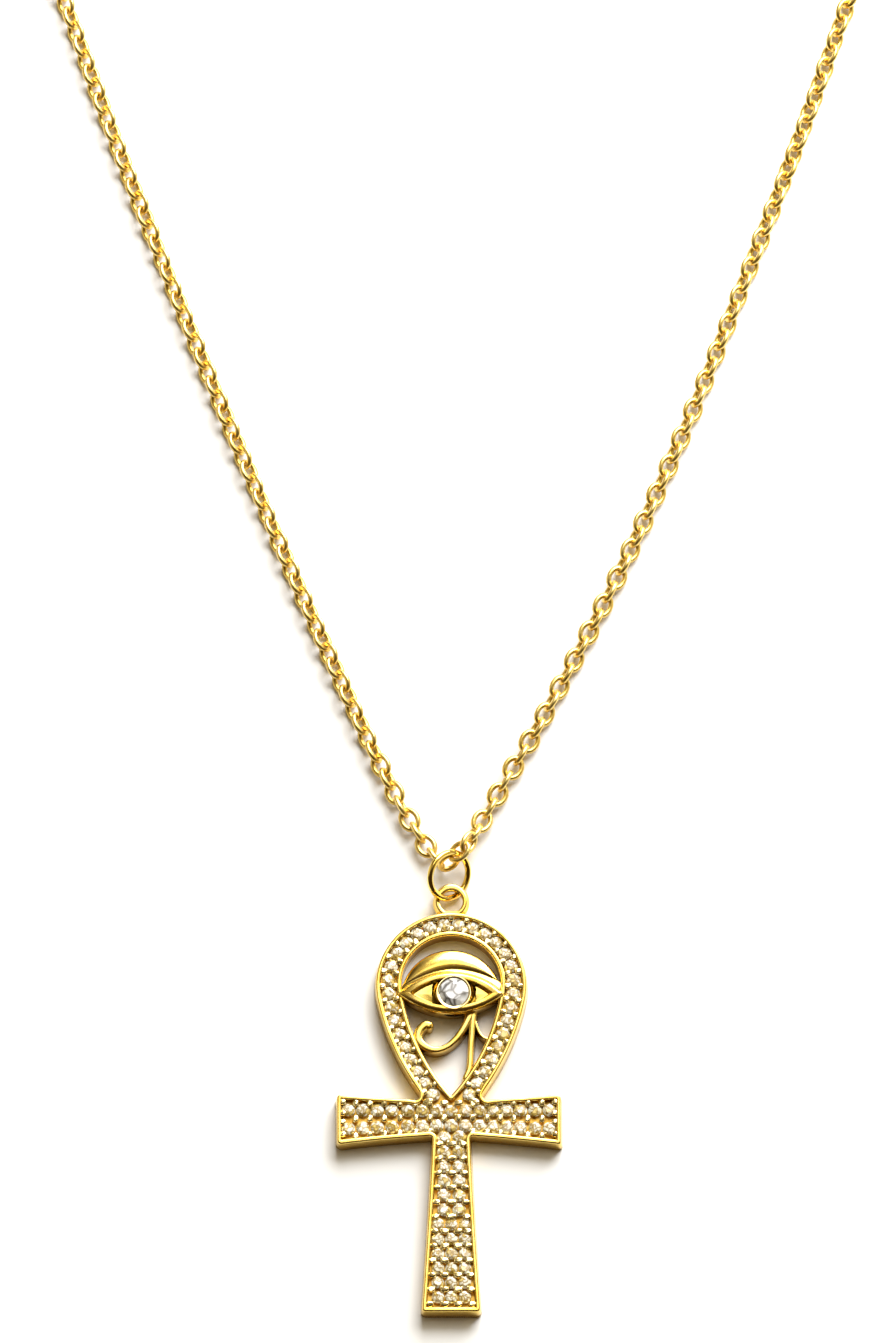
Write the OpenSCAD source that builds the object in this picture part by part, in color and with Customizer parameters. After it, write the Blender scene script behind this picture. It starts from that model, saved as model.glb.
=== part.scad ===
// Ankh pendant on its necklace, lying face up.
// The ankh is a cast tray with a raised rim, paved with small stones, and its loop frames an almond eye.
// +X is to the right across the arms, +Y runs up the pendant towards the chain, +Z rises off the surface.
// The origin is on the flat back, behind the middle of the arms.

/* [Ankh outline] */
// Width across both arms
arm_span = 20.9; // [18:0.1:26]
// Height of an arm at its outer end
arm_end_h = 4.5; // [4:0.1:6]
// Height of the arms where they cross the stem
arm_mid_h = 3.2; // [2.8:0.1:4]
// Length of the stem below the middle of the arms
stem_len = 18.8; // [14:0.1:24]
// Width of the stem at its foot
stem_foot_w = 5.3; // [4.5:0.1:6.5]
// Width of the stem where it leaves the arms
stem_top_w = 3.4; // [3:0.1:4]
// Outer radius of the loop's round top
loop_r = 7.15; // [6.4:0.05:8.6]
// Height of the loop's centre above the middle of the arms
loop_y = 12.9; // [11.5:0.1:15.5]
// Width of the loop's band
band_w = 2.45; // [2.2:0.05:3]

/* [Casting] */
// Thickness of the casting
body_t = 1.8; // [1.5:0.1:2.4]
// Depth of the recess that holds the stones
recess_depth = 0.7; // [0.5:0.05:0.9]
// Width of the rim around the recess
rim_w = 0.35; // [0.3:0.01:0.45]

/* [Eye] */
// Height of the almond eye
eye_h = 3.6; // [3.3:0.05:4.2]
// Height of the eye's lids above the back
eye_top = 2.5; // [2.3:0.05:3]
// Height of the eye's underside above the back
eye_under = 0.4; // [0.2:0.1:0.8]
// Width of a lid
lid_w = 0.45; // [0.35:0.01:0.55]
// Depth of the hollow between the lids
eye_hollow = 0.9; // [0.6:0.05:1.1]
// Diameter of the eye's stone
eye_stone_d = 2.86; // [2.4:0.02:3]
// Wall of the bezel around the eye's stone
bezel_wall = 0.18; // [0.15:0.01:0.3]
// Height of the brow's crown above the back
brow_top = 2.3; // [2:0.05:2.6]
// Thickness of the curl and of the tear line below the eye
mark_w = 0.5; // [0.4:0.02:0.6]

/* [Bail and jump ring] */
// Radius of the hole through the bail
bail_hole_r = 1.15; // [1.1:0.05:1.4]
// Width of the bail's wall at its face
bail_wall = 0.5; // [0.45:0.05:0.7]
// Height of the bail's underside above the back
bail_under = 0.9; // [0.8:0.05:0.95]
// Thickness of the bail
bail_t = 0.5; // [0.4:0.05:0.5]
// Outer diameter of the jump ring
ring_d = 5; // [4.9:0.1:6]
// Wire diameter of the jump ring
ring_wire = 0.6; // [0.5:0.02:0.62]

/* [Chain] */
// Width of the chain
chain_w = 1.6; // [1.2:0.05:1.65]
// Length of the clasp
clasp_len = 11; // [9:0.5:14]
// Width of the clasp
clasp_w = 4.6; // [4:0.1:6]
// Thickness of the clasp
clasp_t = 1.6; // [1.4:0.1:2.2]

/* [Hidden] */
$fn = 64;

gold = "goldenrod";
clear = "lightgray";

// Gap between pieces that are set into each other
fit_gap = 0.03;
// Overlap that makes joined shapes one solid, and the turn of a bent wire inside a thicker one
weld = 0.2;
weld_turn = 8;
// The stones' tops lie this far below the rim
pave_sunk = 0.15;

// The loop's round top turns into long side arcs, which meet at a tip hidden behind the arms
loop_turn = 12;
loop_tip_y = -0.85;
// The opening inside the band sits a little above the loop's centre, so the band is thinner over the top
opening_r = loop_r - band_w;
opening_y = loop_y + 0.15;
opening_turn = 8;
opening_tip_y = arm_mid_h / 2 + 0.6;

// The eye spans the opening and laps onto half its rim
eye_y = loop_y - 0.82;
eye_w = 2 * opening_r + rim_w;
canthus_w = 1.2;
hollow_z = eye_top - eye_hollow;
// The bezel stands a little off the middle and above the lids
bezel_x = 0.2;
bezel_top = eye_top + 0.1;
bezel_r = eye_stone_d / 2 + fit_gap + bezel_wall;
girdle_h = 0.1;
girdle_z = bezel_top - girdle_h;
crown_h = 0.15 * eye_stone_d;
pavilion_h = 0.4 * eye_stone_d;
table_share = 0.57;
// The brow is a puffed bar that leaves a crescent gap below the loop
brow_gap = 1.35;
brow_r = opening_r + 0.05;
brow_y = opening_y + opening_r - brow_gap - brow_r;
brow_puff = 1.15;

// The curl, the tear line and the side arc are wires at half the casting's height
mark_z = 1.15;
curl_r = 1.53;
curl_centre = [-1.45, eye_y - 3.78];
curl_from = -48;
curl_to = -200;
curl_joint = 202;
curl_stem_r = 10.2;
curl_stem_turn = 24;
curl_hook_r = 0.45;
curl_hook_turn = 100;
curl_ball = 1.4;
tear_top = [2.02, eye_y - 1];
tear_foot = [1.68, opening_tip_y + 2.6];
tear_tip = [1.35, opening_tip_y + 1.95];
tear_share = 0.92;
side_arc_r = 0.9;
side_arc_centre = [3.25, eye_y - 3.33];
side_arc_from = 165;
side_arc_to = 300;
side_arc_share = 0.6;

// The bail stands on the loop's top edge
bail_r = bail_hole_r + bail_wall;
bail_foot_r = bail_r + 0.2;
bail_y = loop_y + loop_r + bail_hole_r + 0.05;

// The jump ring leans through the bail's hole, with its left side up and its lowest point on the surface
ring_roll = 45;
ring_pitch = 20;
ring_r = (ring_d - ring_wire) / 2;
ring_normal_z = cos(ring_roll) * cos(ring_pitch);
ring_z = ring_wire / 2 + fit_gap + ring_r * sqrt(1 - ring_normal_z * ring_normal_z);
ring_drop = 0.24;
ring_centre = [-0.1, bail_y + ring_drop + ring_r * cos(ring_pitch), ring_z];

// Chosen points of the chain's route, from the jump ring outwards on each side.
// Each is the way across and the way up from the jump ring's centre, and the lift above the surface.
// The first stretch threads the jump ring, and the rest opens into the necklace's loop.
left_route = [
    [-0.6, 0.6, 0.5], [-1.8, 1.5, 0.1], [-2.6, 3.4, 0], [-3.7, 5.7, 0], [-8.3, 15.1, 0],
    [-14.6, 29.8, 0], [-20.7, 44.4, 0], [-26.6, 59.1, 0], [-32, 73.7, 0], [-37, 88, 0],
    [-43.5, 106, 0], [-48.5, 126, 0], [-48, 148, 0], [-39, 167.5, 0], [-23, 181, 0]
];
right_route = [
    [1, 0.7, 1.9], [2.3, 3.2, 2.4], [3.5, 6.4, 1], [5.7, 10.3, 0.2], [11, 20, 0],
    [16, 29.8, 0], [22.4, 44.4, 0], [28.1, 59.1, 0], [33.5, 73.7, 0], [38.4, 88, 0],
    [44.5, 106, 0], [49.5, 126, 0], [49, 148, 0], [40, 167.5, 0], [24, 181, 0]
];
chain_sides = 8;
chain_step = 7.5;
chain_near_steps = 3;
chain_rest = chain_w / 2 + 0.05;
clasp_middle = [ring_centre[0] + 0.5, ring_centre[1] + 185];
clasp_reach = clasp_len / 2 + 0.1;
clasp_hook_r = clasp_w / 2;
clasp_tail_r = 0.3 * clasp_w;
clasp_bar = 1;
clasp_tail_bar = 0.7;

// Distance from a teardrop's round top to the centre of its side arcs, so that they meet at the tip
function side_reach(r, drop, turn) = (drop * drop - r * r) / (2 * (r - drop * sin(turn)));

// Half the width of the opening at a height y below its round top
function opening_half(y) =
    let (q = side_reach(opening_r, opening_y - opening_tip_y, opening_turn),
         rise = opening_y + q * sin(opening_turn) - y)
    sqrt(pow(q + opening_r, 2) - rise * rise) - q * cos(opening_turn);

// Half the height of the arms at a share of their length, and half the width of the stem
function arm_half(share) = (arm_mid_h + (arm_end_h - arm_mid_h) * pow(abs(share), 1.4)) / 2;
function stem_half(share) = (stem_top_w + (stem_foot_w - stem_top_w) * pow(share, 1.2)) / 2;

// A round top of radius r at height y, whose sides run to a tip as flat arcs, drawn in by inset
module teardrop(r, y, tip, turn, inset) {
    q = side_reach(r, y - tip, turn);
    drawn = r - inset;
    translate([0, y]) {
        circle(r = drawn);
        intersection() {
            translate([-q * cos(turn), q * sin(turn)]) circle(r = q + drawn);
            translate([q * cos(turn), q * sin(turn)]) circle(r = q + drawn);
            translate([-drawn, -q - drawn]) square([2 * drawn, q + drawn - drawn * sin(turn)]);
        }
    }
}

module arms(inset) {
    shares = [for (i = [-8:8]) i / 8];
    reach = arm_span / 2 - inset;
    polygon(concat(
        [for (s = shares) [s * reach, inset - arm_half(s)]],
        [for (s = shares) [-s * reach, arm_half(s) - inset]]));
}

module stem(inset) {
    shares = [for (i = [0:8]) i / 8];
    reach = stem_len - inset;
    polygon(concat(
        [for (s = shares) [stem_half(s) - inset, -s * reach]],
        [for (s = shares) [inset - stem_half(1 - s), (s - 1) * reach]]));
}

// A plate of the ankh's outline and a plug of the teardrop opening inside its loop, both drawn in by inset
module ankh_plate(h, inset) {
    linear_extrude(h) teardrop(loop_r, loop_y, loop_tip_y, loop_turn, inset);
    linear_extrude(h) arms(inset);
    linear_extrude(h) stem(inset);
}

module opening_plug(h, inset) {
    linear_extrude(h) teardrop(opening_r, opening_y, opening_tip_y, opening_turn, inset);
}

// An almond of width w and height h between two arcs
module almond(w, h) {
    r = (w * w + h * h) / (4 * h);
    intersection() {
        translate([0, h / 2 - r]) circle(r = r);
        translate([0, r - h / 2]) circle(r = r);
    }
}

// A round wire of diameter d, bent round a centre from one angle to another
module bend(centre, r, from, to, d) {
    translate([centre[0], centre[1], mark_z])
        rotate([0, 0, from]) rotate_extrude(angle = to - from) translate([r, 0]) circle(d = d);
}

// The tray is open at the loop, and its recess is sunk between the rims
module tray() {
    difference() {
        ankh_plate(body_t, 0);
        translate([0, 0, body_t - recess_depth]) difference() {
            ankh_plate(body_t, rim_w);
            opening_plug(body_t, -rim_w);
        }
        translate([0, 0, -body_t]) opening_plug(3 * body_t, 0);
    }
}

module bail() {
    through = bail_under + 2 * bail_t;
    difference() {
        union() {
            translate([0, bail_y, bail_under]) cylinder(h = bail_t, r1 = bail_foot_r, r2 = bail_r);
            translate([-bail_r, loop_y, bail_under]) cube([2 * bail_r, bail_y - loop_y, bail_t]);
        }
        translate([0, loop_y, 0]) cylinder(h = through, r = loop_r - rim_w / 2);
        translate([0, bail_y, 0]) cylinder(h = through, r = bail_hole_r);
    }
}

// The almond body with its lids, the hollow between them and the bezel that holds the stone
module eye() {
    difference() {
        union() {
            translate([0, eye_y, eye_under]) difference() {
                linear_extrude(eye_top - eye_under) almond(eye_w, eye_h);
                translate([0, 0, hollow_z - eye_under])
                    linear_extrude(eye_top) almond(eye_w - 2 * canthus_w, eye_h - 2 * lid_w);
            }
            translate([bezel_x, eye_y, hollow_z - weld]) cylinder(h = bezel_top - hollow_z + weld, r = bezel_r);
        }
        translate([bezel_x, eye_y, 0]) eye_stone_form(fit_gap);
        translate([bezel_x, eye_y, girdle_z]) cylinder(h = bezel_top, r = eye_stone_d / 2 + fit_gap);
    }
}

// A round brilliant: flat table, sloping crown, thin girdle and a cone below
module eye_stone_form(gap) {
    r = eye_stone_d / 2 + gap;
    translate([0, 0, girdle_z - pavilion_h - gap]) cylinder(h = pavilion_h, r1 = 0.1 * r, r2 = r);
    translate([0, 0, girdle_z - gap]) cylinder(h = girdle_h + gap, r = r);
    translate([0, 0, girdle_z + girdle_h]) cylinder(h = crown_h, r1 = r, r2 = table_share * r);
}

// A puffed crescent between the eye and the loop
module brow() {
    intersection() {
        translate([-opening_r - weld, eye_y, eye_under]) cube([2 * (opening_r + weld), loop_r, brow_top]);
        translate([0, brow_y, 0]) cylinder(h = brow_top, r = brow_r);
        translate([0, brow_y, brow_top - brow_puff])
            rotate_extrude() translate([brow_r - brow_puff, 0]) circle(r = 1.1 * brow_puff);
    }
}

// A point at an angle on a circle
function on_circle(centre, r, angle) = centre + r * [cos(angle), sin(angle)];

// The curl sweeps down from the eye, round to the left and up into a hook with a ball end
module curl() {
    stem_start = on_circle(curl_centre, curl_r - curl_stem_r, curl_from);
    hook_centre = on_circle(curl_centre, curl_r - curl_hook_r, curl_to);
    ball = on_circle(hook_centre, curl_hook_r, curl_to - curl_hook_turn);
    bend(stem_start, curl_stem_r, curl_from, curl_from + curl_stem_turn, 1.12 * mark_w);
    bend(curl_centre, curl_r, curl_to, curl_from + weld_turn, mark_w);
    bend(hook_centre, curl_hook_r, curl_to - curl_hook_turn, curl_to + weld_turn, 0.88 * mark_w);
    translate([ball[0], ball[1], mark_z]) sphere(d = curl_ball * mark_w);
    rim_joint();
}

// The drop of metal that joins the curl's side to the rim
module rim_joint() {
    side = on_circle(curl_centre, curl_r, curl_joint);
    wall = opening_half(side[1]) + rim_w / 2;
    translate([-wall, side[1], mark_z]) rotate([0, 90, 0]) cylinder(h = wall + side[0], d = 0.8 * mark_w);
}

// The straight tear line, whose foot runs into the rim
module tear_line() {
    half = [tear_share * mark_w / 2, 0];
    translate([0, 0, mark_z - mark_w / 2]) linear_extrude(mark_w) polygon([
        tear_top - half, tear_foot - half, tear_tip - half,
        tear_tip + half, tear_foot + half, tear_top + half]);
}

// The small arc from the tear line to the rim
module side_arc() {
    bend(side_arc_centre, side_arc_r, side_arc_from, side_arc_to, side_arc_share * mark_w);
}

module ankh_casting() {
    color(gold) union() {
        tray();
        bail();
        eye();
        brow();
        curl();
        tear_line();
        side_arc();
    }
}

// The stones fill the recess as one paved slab
module pave_stones() {
    color(clear) translate([0, 0, body_t - recess_depth + fit_gap]) difference() {
        ankh_plate(recess_depth - pave_sunk, rim_w + fit_gap);
        opening_plug(recess_depth, -rim_w - fit_gap);
    }
}

module eye_stone() {
    color(clear) translate([bezel_x, eye_y, 0]) eye_stone_form(0);
}

module jump_ring() {
    color(gold) translate(ring_centre) rotate([ring_pitch, ring_roll, 0])
        rotate_extrude() translate([ring_r, 0]) circle(d = ring_wire);
}

// A smooth curve through points p, in n steps from point i to the next
function knot(a, b) = sqrt(norm(b - a));
function span_tangent(a, b, c, dab, dbc, scale) =
    ((b - a) / dab - (c - a) / (dab + dbc) + (c - b) / dbc) * scale;
function span_point(p, i, t) =
    let (p1 = p[i], p2 = p[i + 1],
         p0 = i > 0 ? p[i - 1] : 2 * p1 - p2,
         p3 = i < len(p) - 2 ? p[i + 2] : 2 * p2 - p1,
         d0 = knot(p0, p1), d1 = knot(p1, p2), d2 = knot(p2, p3),
         m1 = span_tangent(p0, p1, p2, d0, d1, d1),
         m2 = span_tangent(p1, p2, p3, d1, d2, d1))
    (2 * pow(t, 3) - 3 * t * t + 1) * p1 + (pow(t, 3) - 2 * t * t + t) * m1
        + (3 * t * t - 2 * pow(t, 3)) * p2 + (pow(t, 3) - t * t) * m2;
function span_steps(p, i) =
    let (span = norm(p[i + 1] - p[i]))
    span < chain_step ? chain_near_steps : round(span / chain_step);
function smooth(p) = concat(
    [for (i = [0:len(p) - 2]) let (n = span_steps(p, i)) for (k = [0:n - 1]) span_point(p, i, k / n)],
    [p[len(p) - 1]]);

// One ring of the tube around point i of a path, square to the path
function unit(v) = v / norm(v);
function tube_ring(path, i, r) =
    let (along = unit(path[min(i + 1, len(path) - 1)] - path[max(i - 1, 0)]),
         across = unit(cross([0, 0, 1], along)),
         up = cross(along, across))
    [for (k = [0:chain_sides - 1]) let (a = 360 * (k + 0.5) / chain_sides)
        path[i] + r * (cos(a) * across + sin(a) * up)];

module tube(path, w) {
    rings = len(path);
    n = chain_sides;
    points = [for (i = [0:rings - 1]) each tube_ring(path, i, w / 2 / cos(180 / n))];
    walls = [for (i = [0:rings - 2]) for (k = [0:n - 1])
        [i * n + k, i * n + (k + 1) % n, (i + 1) * n + (k + 1) % n, (i + 1) * n + k]];
    start = [for (k = [0:n - 1]) n - 1 - k];
    finish = [for (k = [0:n - 1]) (rings - 1) * n + k];
    polyhedron(points = points, faces = concat([start], walls, [finish]));
}

// The fine chain as one tube, from one end of the clasp through the jump ring to the other
module chain() {
    lie = [ring_centre[0], ring_centre[1], chain_rest];
    ends = [for (side = [-1, 1]) [clasp_middle[0] + side * clasp_reach, clasp_middle[1], chain_rest]];
    left = [for (i = [len(left_route) - 1:-1:0]) lie + left_route[i]];
    right = [for (p = right_route) lie + p];
    color(gold) tube(smooth(concat([ends[0]], left, right, [ends[1]])), chain_w);
}

// A plain claw clasp with an eye at its tail
module clasp() {
    hook = [clasp_hook_r - clasp_len / 2, 0];
    tail = [clasp_len / 2 - clasp_tail_r, 0];
    color(gold) translate([clasp_middle[0], clasp_middle[1], fit_gap]) linear_extrude(clasp_t) difference() {
        union() {
            translate(hook) circle(r = clasp_hook_r);
            translate(tail) circle(r = clasp_tail_r);
            polygon([
                hook + [0, clasp_hook_r], hook - [0, clasp_hook_r],
                tail - [0, clasp_tail_r], tail + [0, clasp_tail_r]]);
        }
        translate(hook) circle(r = clasp_hook_r - clasp_bar);
        translate(tail) circle(r = clasp_tail_r - clasp_tail_bar);
    }
}

ankh_casting();
pave_stones();
eye_stone();
jump_ring();
chain();
clasp();
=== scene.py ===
"""The looks of an ankh pendant necklace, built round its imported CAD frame.

Lengths are in millimetres until a mesh is made. +X runs across the ankh's arms, +Y up the pendant
towards the chain and +Z off the surface that it lies on, as in the CAD model.
"""

import logging
import math
from dataclasses import dataclass, field
from enum import Enum
from typing import Callable, Iterable, Sequence

import bmesh
import bpy
from mathutils import Matrix, Vector


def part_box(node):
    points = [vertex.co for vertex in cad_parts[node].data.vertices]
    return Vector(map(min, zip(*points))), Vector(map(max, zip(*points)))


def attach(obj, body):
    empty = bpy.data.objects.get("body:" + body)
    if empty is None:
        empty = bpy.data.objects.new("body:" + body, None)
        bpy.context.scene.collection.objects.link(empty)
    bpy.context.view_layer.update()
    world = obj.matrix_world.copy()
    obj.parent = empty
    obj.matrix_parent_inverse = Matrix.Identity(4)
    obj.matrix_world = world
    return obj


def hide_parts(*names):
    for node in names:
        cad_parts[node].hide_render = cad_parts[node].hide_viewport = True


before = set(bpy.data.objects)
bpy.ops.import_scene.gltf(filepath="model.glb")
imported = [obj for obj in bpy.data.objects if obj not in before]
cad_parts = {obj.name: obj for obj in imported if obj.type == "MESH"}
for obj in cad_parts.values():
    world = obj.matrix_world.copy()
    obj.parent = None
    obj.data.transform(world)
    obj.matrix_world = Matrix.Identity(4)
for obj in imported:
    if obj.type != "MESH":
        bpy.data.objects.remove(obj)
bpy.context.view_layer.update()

LOG = logging.getLogger("ankh")
MM = 0.001
WELD = 1e-7
BUMP_DEPTH = 0.00005
BODY = "root"

Point = tuple[float, float]
Place = tuple[float, float, float]
Tone = tuple[float, float, float]
Colour = tuple[float, float, float, float]
Stop = tuple[float, float, float, float]
Outline = list[Point]


class Slot(Enum):
    """The record's material slots."""

    CAST_GOLD = "cast_gold"
    WIRE_GOLD = "wire_gold"
    CHAIN_GOLD = "chain_gold"
    PAVE_STONE = "pave_stone"
    EYE_STONE = "eye_stone"


class Side(Enum):
    """The two sides of the pendant, and the sign of X on each."""

    LEFT = -1
    RIGHT = 1


def mix(a: float, b: float, share: float) -> float:
    """Returns the value at a share of the way from a to b."""
    return a + (b - a) * share


def spread(first: float, last: float, count: int) -> list[float]:
    """Returns count values, evenly spaced from first to last."""
    return [mix(first, last, i / (count - 1)) for i in range(count)]


def on_circle(centre: Point, radius: float, degrees: float) -> Point:
    """Returns the point of a circle at an angle."""
    turn = math.radians(degrees)
    return centre[0] + radius * math.cos(turn), centre[1] + radius * math.sin(turn)


def rounded(corner: Point, arrive: Point, leave: Point, radius: float, steps: int) -> Outline:
    """Rounds a corner between two nearly straight edges with an arc.

    Args:
        corner: Where the edges would meet.
        arrive: Direction of the edge that runs into the corner.
        leave: Direction of the edge that runs out of it.
        radius: Radius of the arc.
        steps: Number of stretches in the arc.

    Returns:
        The arc's points, with both of its ends.
    """
    into = Vector(arrive).normalized()
    out = Vector(leave).normalized()
    turn = into.angle(out)
    reach = radius * math.tan(turn / 2)
    weight = math.cos(turn / 2)
    start = Vector(corner) - into * reach
    end = Vector(corner) + out * reach
    arc = []
    for t in spread(0, 1, steps + 1):
        parts = ((1 - t) ** 2, 2 * t * (1 - t) * weight, t * t)
        point = (start * parts[0] + Vector(corner) * parts[1] + end * parts[2]) / sum(parts)
        arc.append((point.x, point.y))
    return arc


def smooth_path(points: Sequence[Sequence[float]], steps: int) -> list[Vector]:
    """Runs a smooth curve through points.

    Args:
        points: The points to pass through, of any number of values each.
        steps: Number of stretches from one point to the next.

    Returns:
        The curve's points.
    """
    knots = [Vector(p) for p in points]
    knots = [knots[0] * 2 - knots[1], *knots, knots[-1] * 2 - knots[-2]]
    path = []
    for a, b, c, d in zip(knots, knots[1:], knots[2:], knots[3:]):
        gaps = [max((q - p).length, 1e-6) ** 0.5 for p, q in ((a, b), (b, c), (c, d))]
        leave = ((b - a) / gaps[0] - (c - a) / (gaps[0] + gaps[1]) + (c - b) / gaps[1]) * gaps[1]
        arrive = ((c - b) / gaps[1] - (d - b) / (gaps[1] + gaps[2]) + (d - c) / gaps[2]) * gaps[1]
        for t in [i / steps for i in range(steps)]:
            path.append(
                b * (2 * t**3 - 3 * t**2 + 1) + leave * (t**3 - 2 * t**2 + t)
                + c * (3 * t**2 - 2 * t**3) + arrive * (t**3 - t**2))
    path.append(knots[-2])
    return path


def walk(path: Sequence[Vector], lengths: Iterable[float]) -> list[Vector]:
    """Finds places along a path.

    Args:
        path: The path's points.
        lengths: How far along the path each place lies, in rising order.

    Returns:
        The places.
    """
    found = []
    done = 0.0
    i = 0
    for length in lengths:
        while i < len(path) - 2 and done + (path[i + 1] - path[i]).length < length:
            done += (path[i + 1] - path[i]).length
            i += 1
        stretch = path[i + 1] - path[i]
        found.append(path[i] + stretch * ((length - done) / stretch.length))
    return found


def path_length(path: Sequence[Vector]) -> float:
    """Returns the length of a path."""
    return sum((b - a).length for a, b in zip(path, path[1:]))


class Shell:
    """The points and faces of one piece, gathered in millimetres.

    ROUND_TOP is half of a bar's rounded top, from its side to its middle: the share of half the bar's
    width, and the share of the drop from the middle to the side. TOP_DROP is that drop, as a share of
    half the width, and WAIST is the share of the flare that is left halfway up the side.
    """

    ROUND_TOP: tuple[Point, ...] = (
        (1, 1), (0.96, 0.6), (0.84, 0.27), (0.64, 0.09), (0.36, 0.02), (0, 0))
    TOP_DROP: float = 0.6
    WAIST: float = 0.4

    def __init__(self) -> None:
        """Starts without points or faces."""
        self.places: list[Place] = []
        self.faces: list[tuple[int, ...]] = []
        self.filled: list[list[list[int]]] = []

    def ring(self, outline: Outline, height: float | Callable[[Point], float]) -> list[int]:
        """Adds a ring of points.

        Args:
            outline: The ring's points from above.
            height: One height for all of them, or a function of the point.

        Returns:
            The new points' numbers.
        """
        first = len(self.places)
        for p in outline:
            self.places.append((p[0], p[1], height(p) if callable(height) else height))
        return list(range(first, len(self.places)))

    def add(self, points: Iterable[Sequence[float]]) -> list[int]:
        """Adds points.

        Args:
            points: The points, of three values each.

        Returns:
            The new points' numbers.
        """
        first = len(self.places)
        self.places.extend((p[0], p[1], p[2]) for p in points)
        return list(range(first, len(self.places)))

    def join(self, low: list[int], high: list[int]) -> None:
        """Adds a band of faces between two closed rows of points.

        Args:
            low: One row.
            high: The other row, with as many points.
        """
        count = len(low)
        for i in range(count):
            j = (i + 1) % count
            self.faces.append((low[i], low[j], high[j], high[i]))

    def loft(self, rows: Sequence[list[int]]) -> None:
        """Adds bands of faces through closed rows of points in turn."""
        for low, high in zip(rows, rows[1:]):
            self.join(low, high)

    def tube(self, rows: Sequence[list[int]]) -> None:
        """Adds bands of faces through closed rows of points in turn, and closes both ends.

        Args:
            rows: The rows' point numbers.
        """
        self.loft(rows)
        self.cap(rows[0])
        self.cap(rows[-1])

    def cap(self, ring: list[int]) -> None:
        """Closes a ring with one face."""
        self.faces.append(tuple(ring))

    def fill(self, *rings: list[int]) -> None:
        """Closes the flat area between an outer ring and the rings inside it."""
        self.filled.append(list(rings))

    def bar(self, path: Sequence[Vector], halves: Sequence[float], low: float, highs: Sequence[float],
            flare: float) -> None:
        """Sweeps an upright bar with a rounded top and flared sides along a flat path.

        Args:
            path: The bar's middle line, seen from above.
            halves: Half the width of the bar's top at each point of the path.
            low: Height of its underside.
            highs: Height of its top at each point of the path.
            flare: How far each side stands out at the bottom.
        """
        rows = []
        for i, middle in enumerate(path):
            along = (path[min(i + 1, len(path) - 1)] - path[max(i - 1, 0)]).normalized()
            across = Vector((-along.y, along.x))
            half, high = halves[i], highs[i]
            drop = self.TOP_DROP * half
            section = [(half + flare, low), (half + self.WAIST * flare, mix(low, high - drop, 0.5))]
            section += [(half * u, high - drop * v) for u, v in self.ROUND_TOP]
            section += [(-u, v) for u, v in reversed(section[:-1])]
            rows.append(self.add(
                (middle.x + u * across.x, middle.y + u * across.y, v) for u, v in section))
        self.tube(rows)

    def lathe(self, centre: Point, profile: Sequence[Point], steps: int) -> None:
        """Turns a profile about an upright axis, and closes its ends.

        Args:
            centre: Where the axis stands.
            profile: The radius and the height of each point of the profile.
            steps: Number of points round the axis.
        """
        rows = []
        for radius, height in profile:
            circle = [on_circle(centre, radius, 360 * k / steps) for k in range(steps)]
            rows.append(self.ring(circle, height))
        self.tube(rows)

    def piece(self, name: str, crease: float = 38) -> bpy.types.Object:
        """Makes the piece's object, in metres, closed and with its faces outwards.

        Args:
            name: The object's name.
            crease: Edges that turn by more degrees than this stay sharp.

        Returns:
            The new object.
        """
        bm = bmesh.new()
        verts = [bm.verts.new(Vector(p) * MM) for p in self.places]
        for corners in self.faces:
            bm.faces.new([verts[i] for i in corners])
        for rings in self.filled:
            edges = []
            for ring in rings:
                for a, b in zip(ring, ring[1:] + ring[:1]):
                    edge = bm.edges.get((verts[a], verts[b]))
                    edges.append(edge or bm.edges.new((verts[a], verts[b])))
            bmesh.ops.triangle_fill(bm, use_beauty=True, use_dissolve=False, edges=edges)
        bmesh.ops.remove_doubles(bm, verts=bm.verts, dist=WELD)
        bmesh.ops.dissolve_degenerate(bm, dist=WELD, edges=bm.edges)
        bmesh.ops.recalc_face_normals(bm, faces=bm.faces)
        mesh = bpy.data.meshes.new(name)
        bm.to_mesh(mesh)
        bm.free()
        smooth(mesh, crease)
        return in_scene(name, mesh)


def in_scene(name: str, data: bpy.types.ID) -> bpy.types.Object:
    """Adds an object to the scene.

    Args:
        name: Its name.
        data: The mesh, curve, light or camera that it holds.

    Returns:
        The new object.
    """
    made = bpy.data.objects.new(name, data)
    bpy.context.scene.collection.objects.link(made)
    return made


def smooth(mesh: bpy.types.Mesh, crease: float) -> None:
    """Shades a mesh smooth, apart from edges that turn by more degrees than crease."""
    mesh.shade_smooth()
    mesh.set_sharp_from_angle(angle=math.radians(crease))


def settle(made: bpy.types.Object, finish: bpy.types.Material | None, slot: Slot,
           stands_for: str | None = None) -> None:
    """Gives a finished piece its material and its body, and hides the CAD node that it stands for.

    Args:
        made: The piece.
        finish: Its material, or None where the piece has one already.
        slot: The record's slot that the finish belongs to. Not used.
        stands_for: The CAD node that the piece replaces, if any.
    """
    if finish is not None:
        made.data.materials.clear()
        made.data.materials.append(finish)
    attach(made, BODY)
    if stands_for:
        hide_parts(stands_for)
    LOG.info("%s: %d faces", made.name, len(made.data.polygons))


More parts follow.
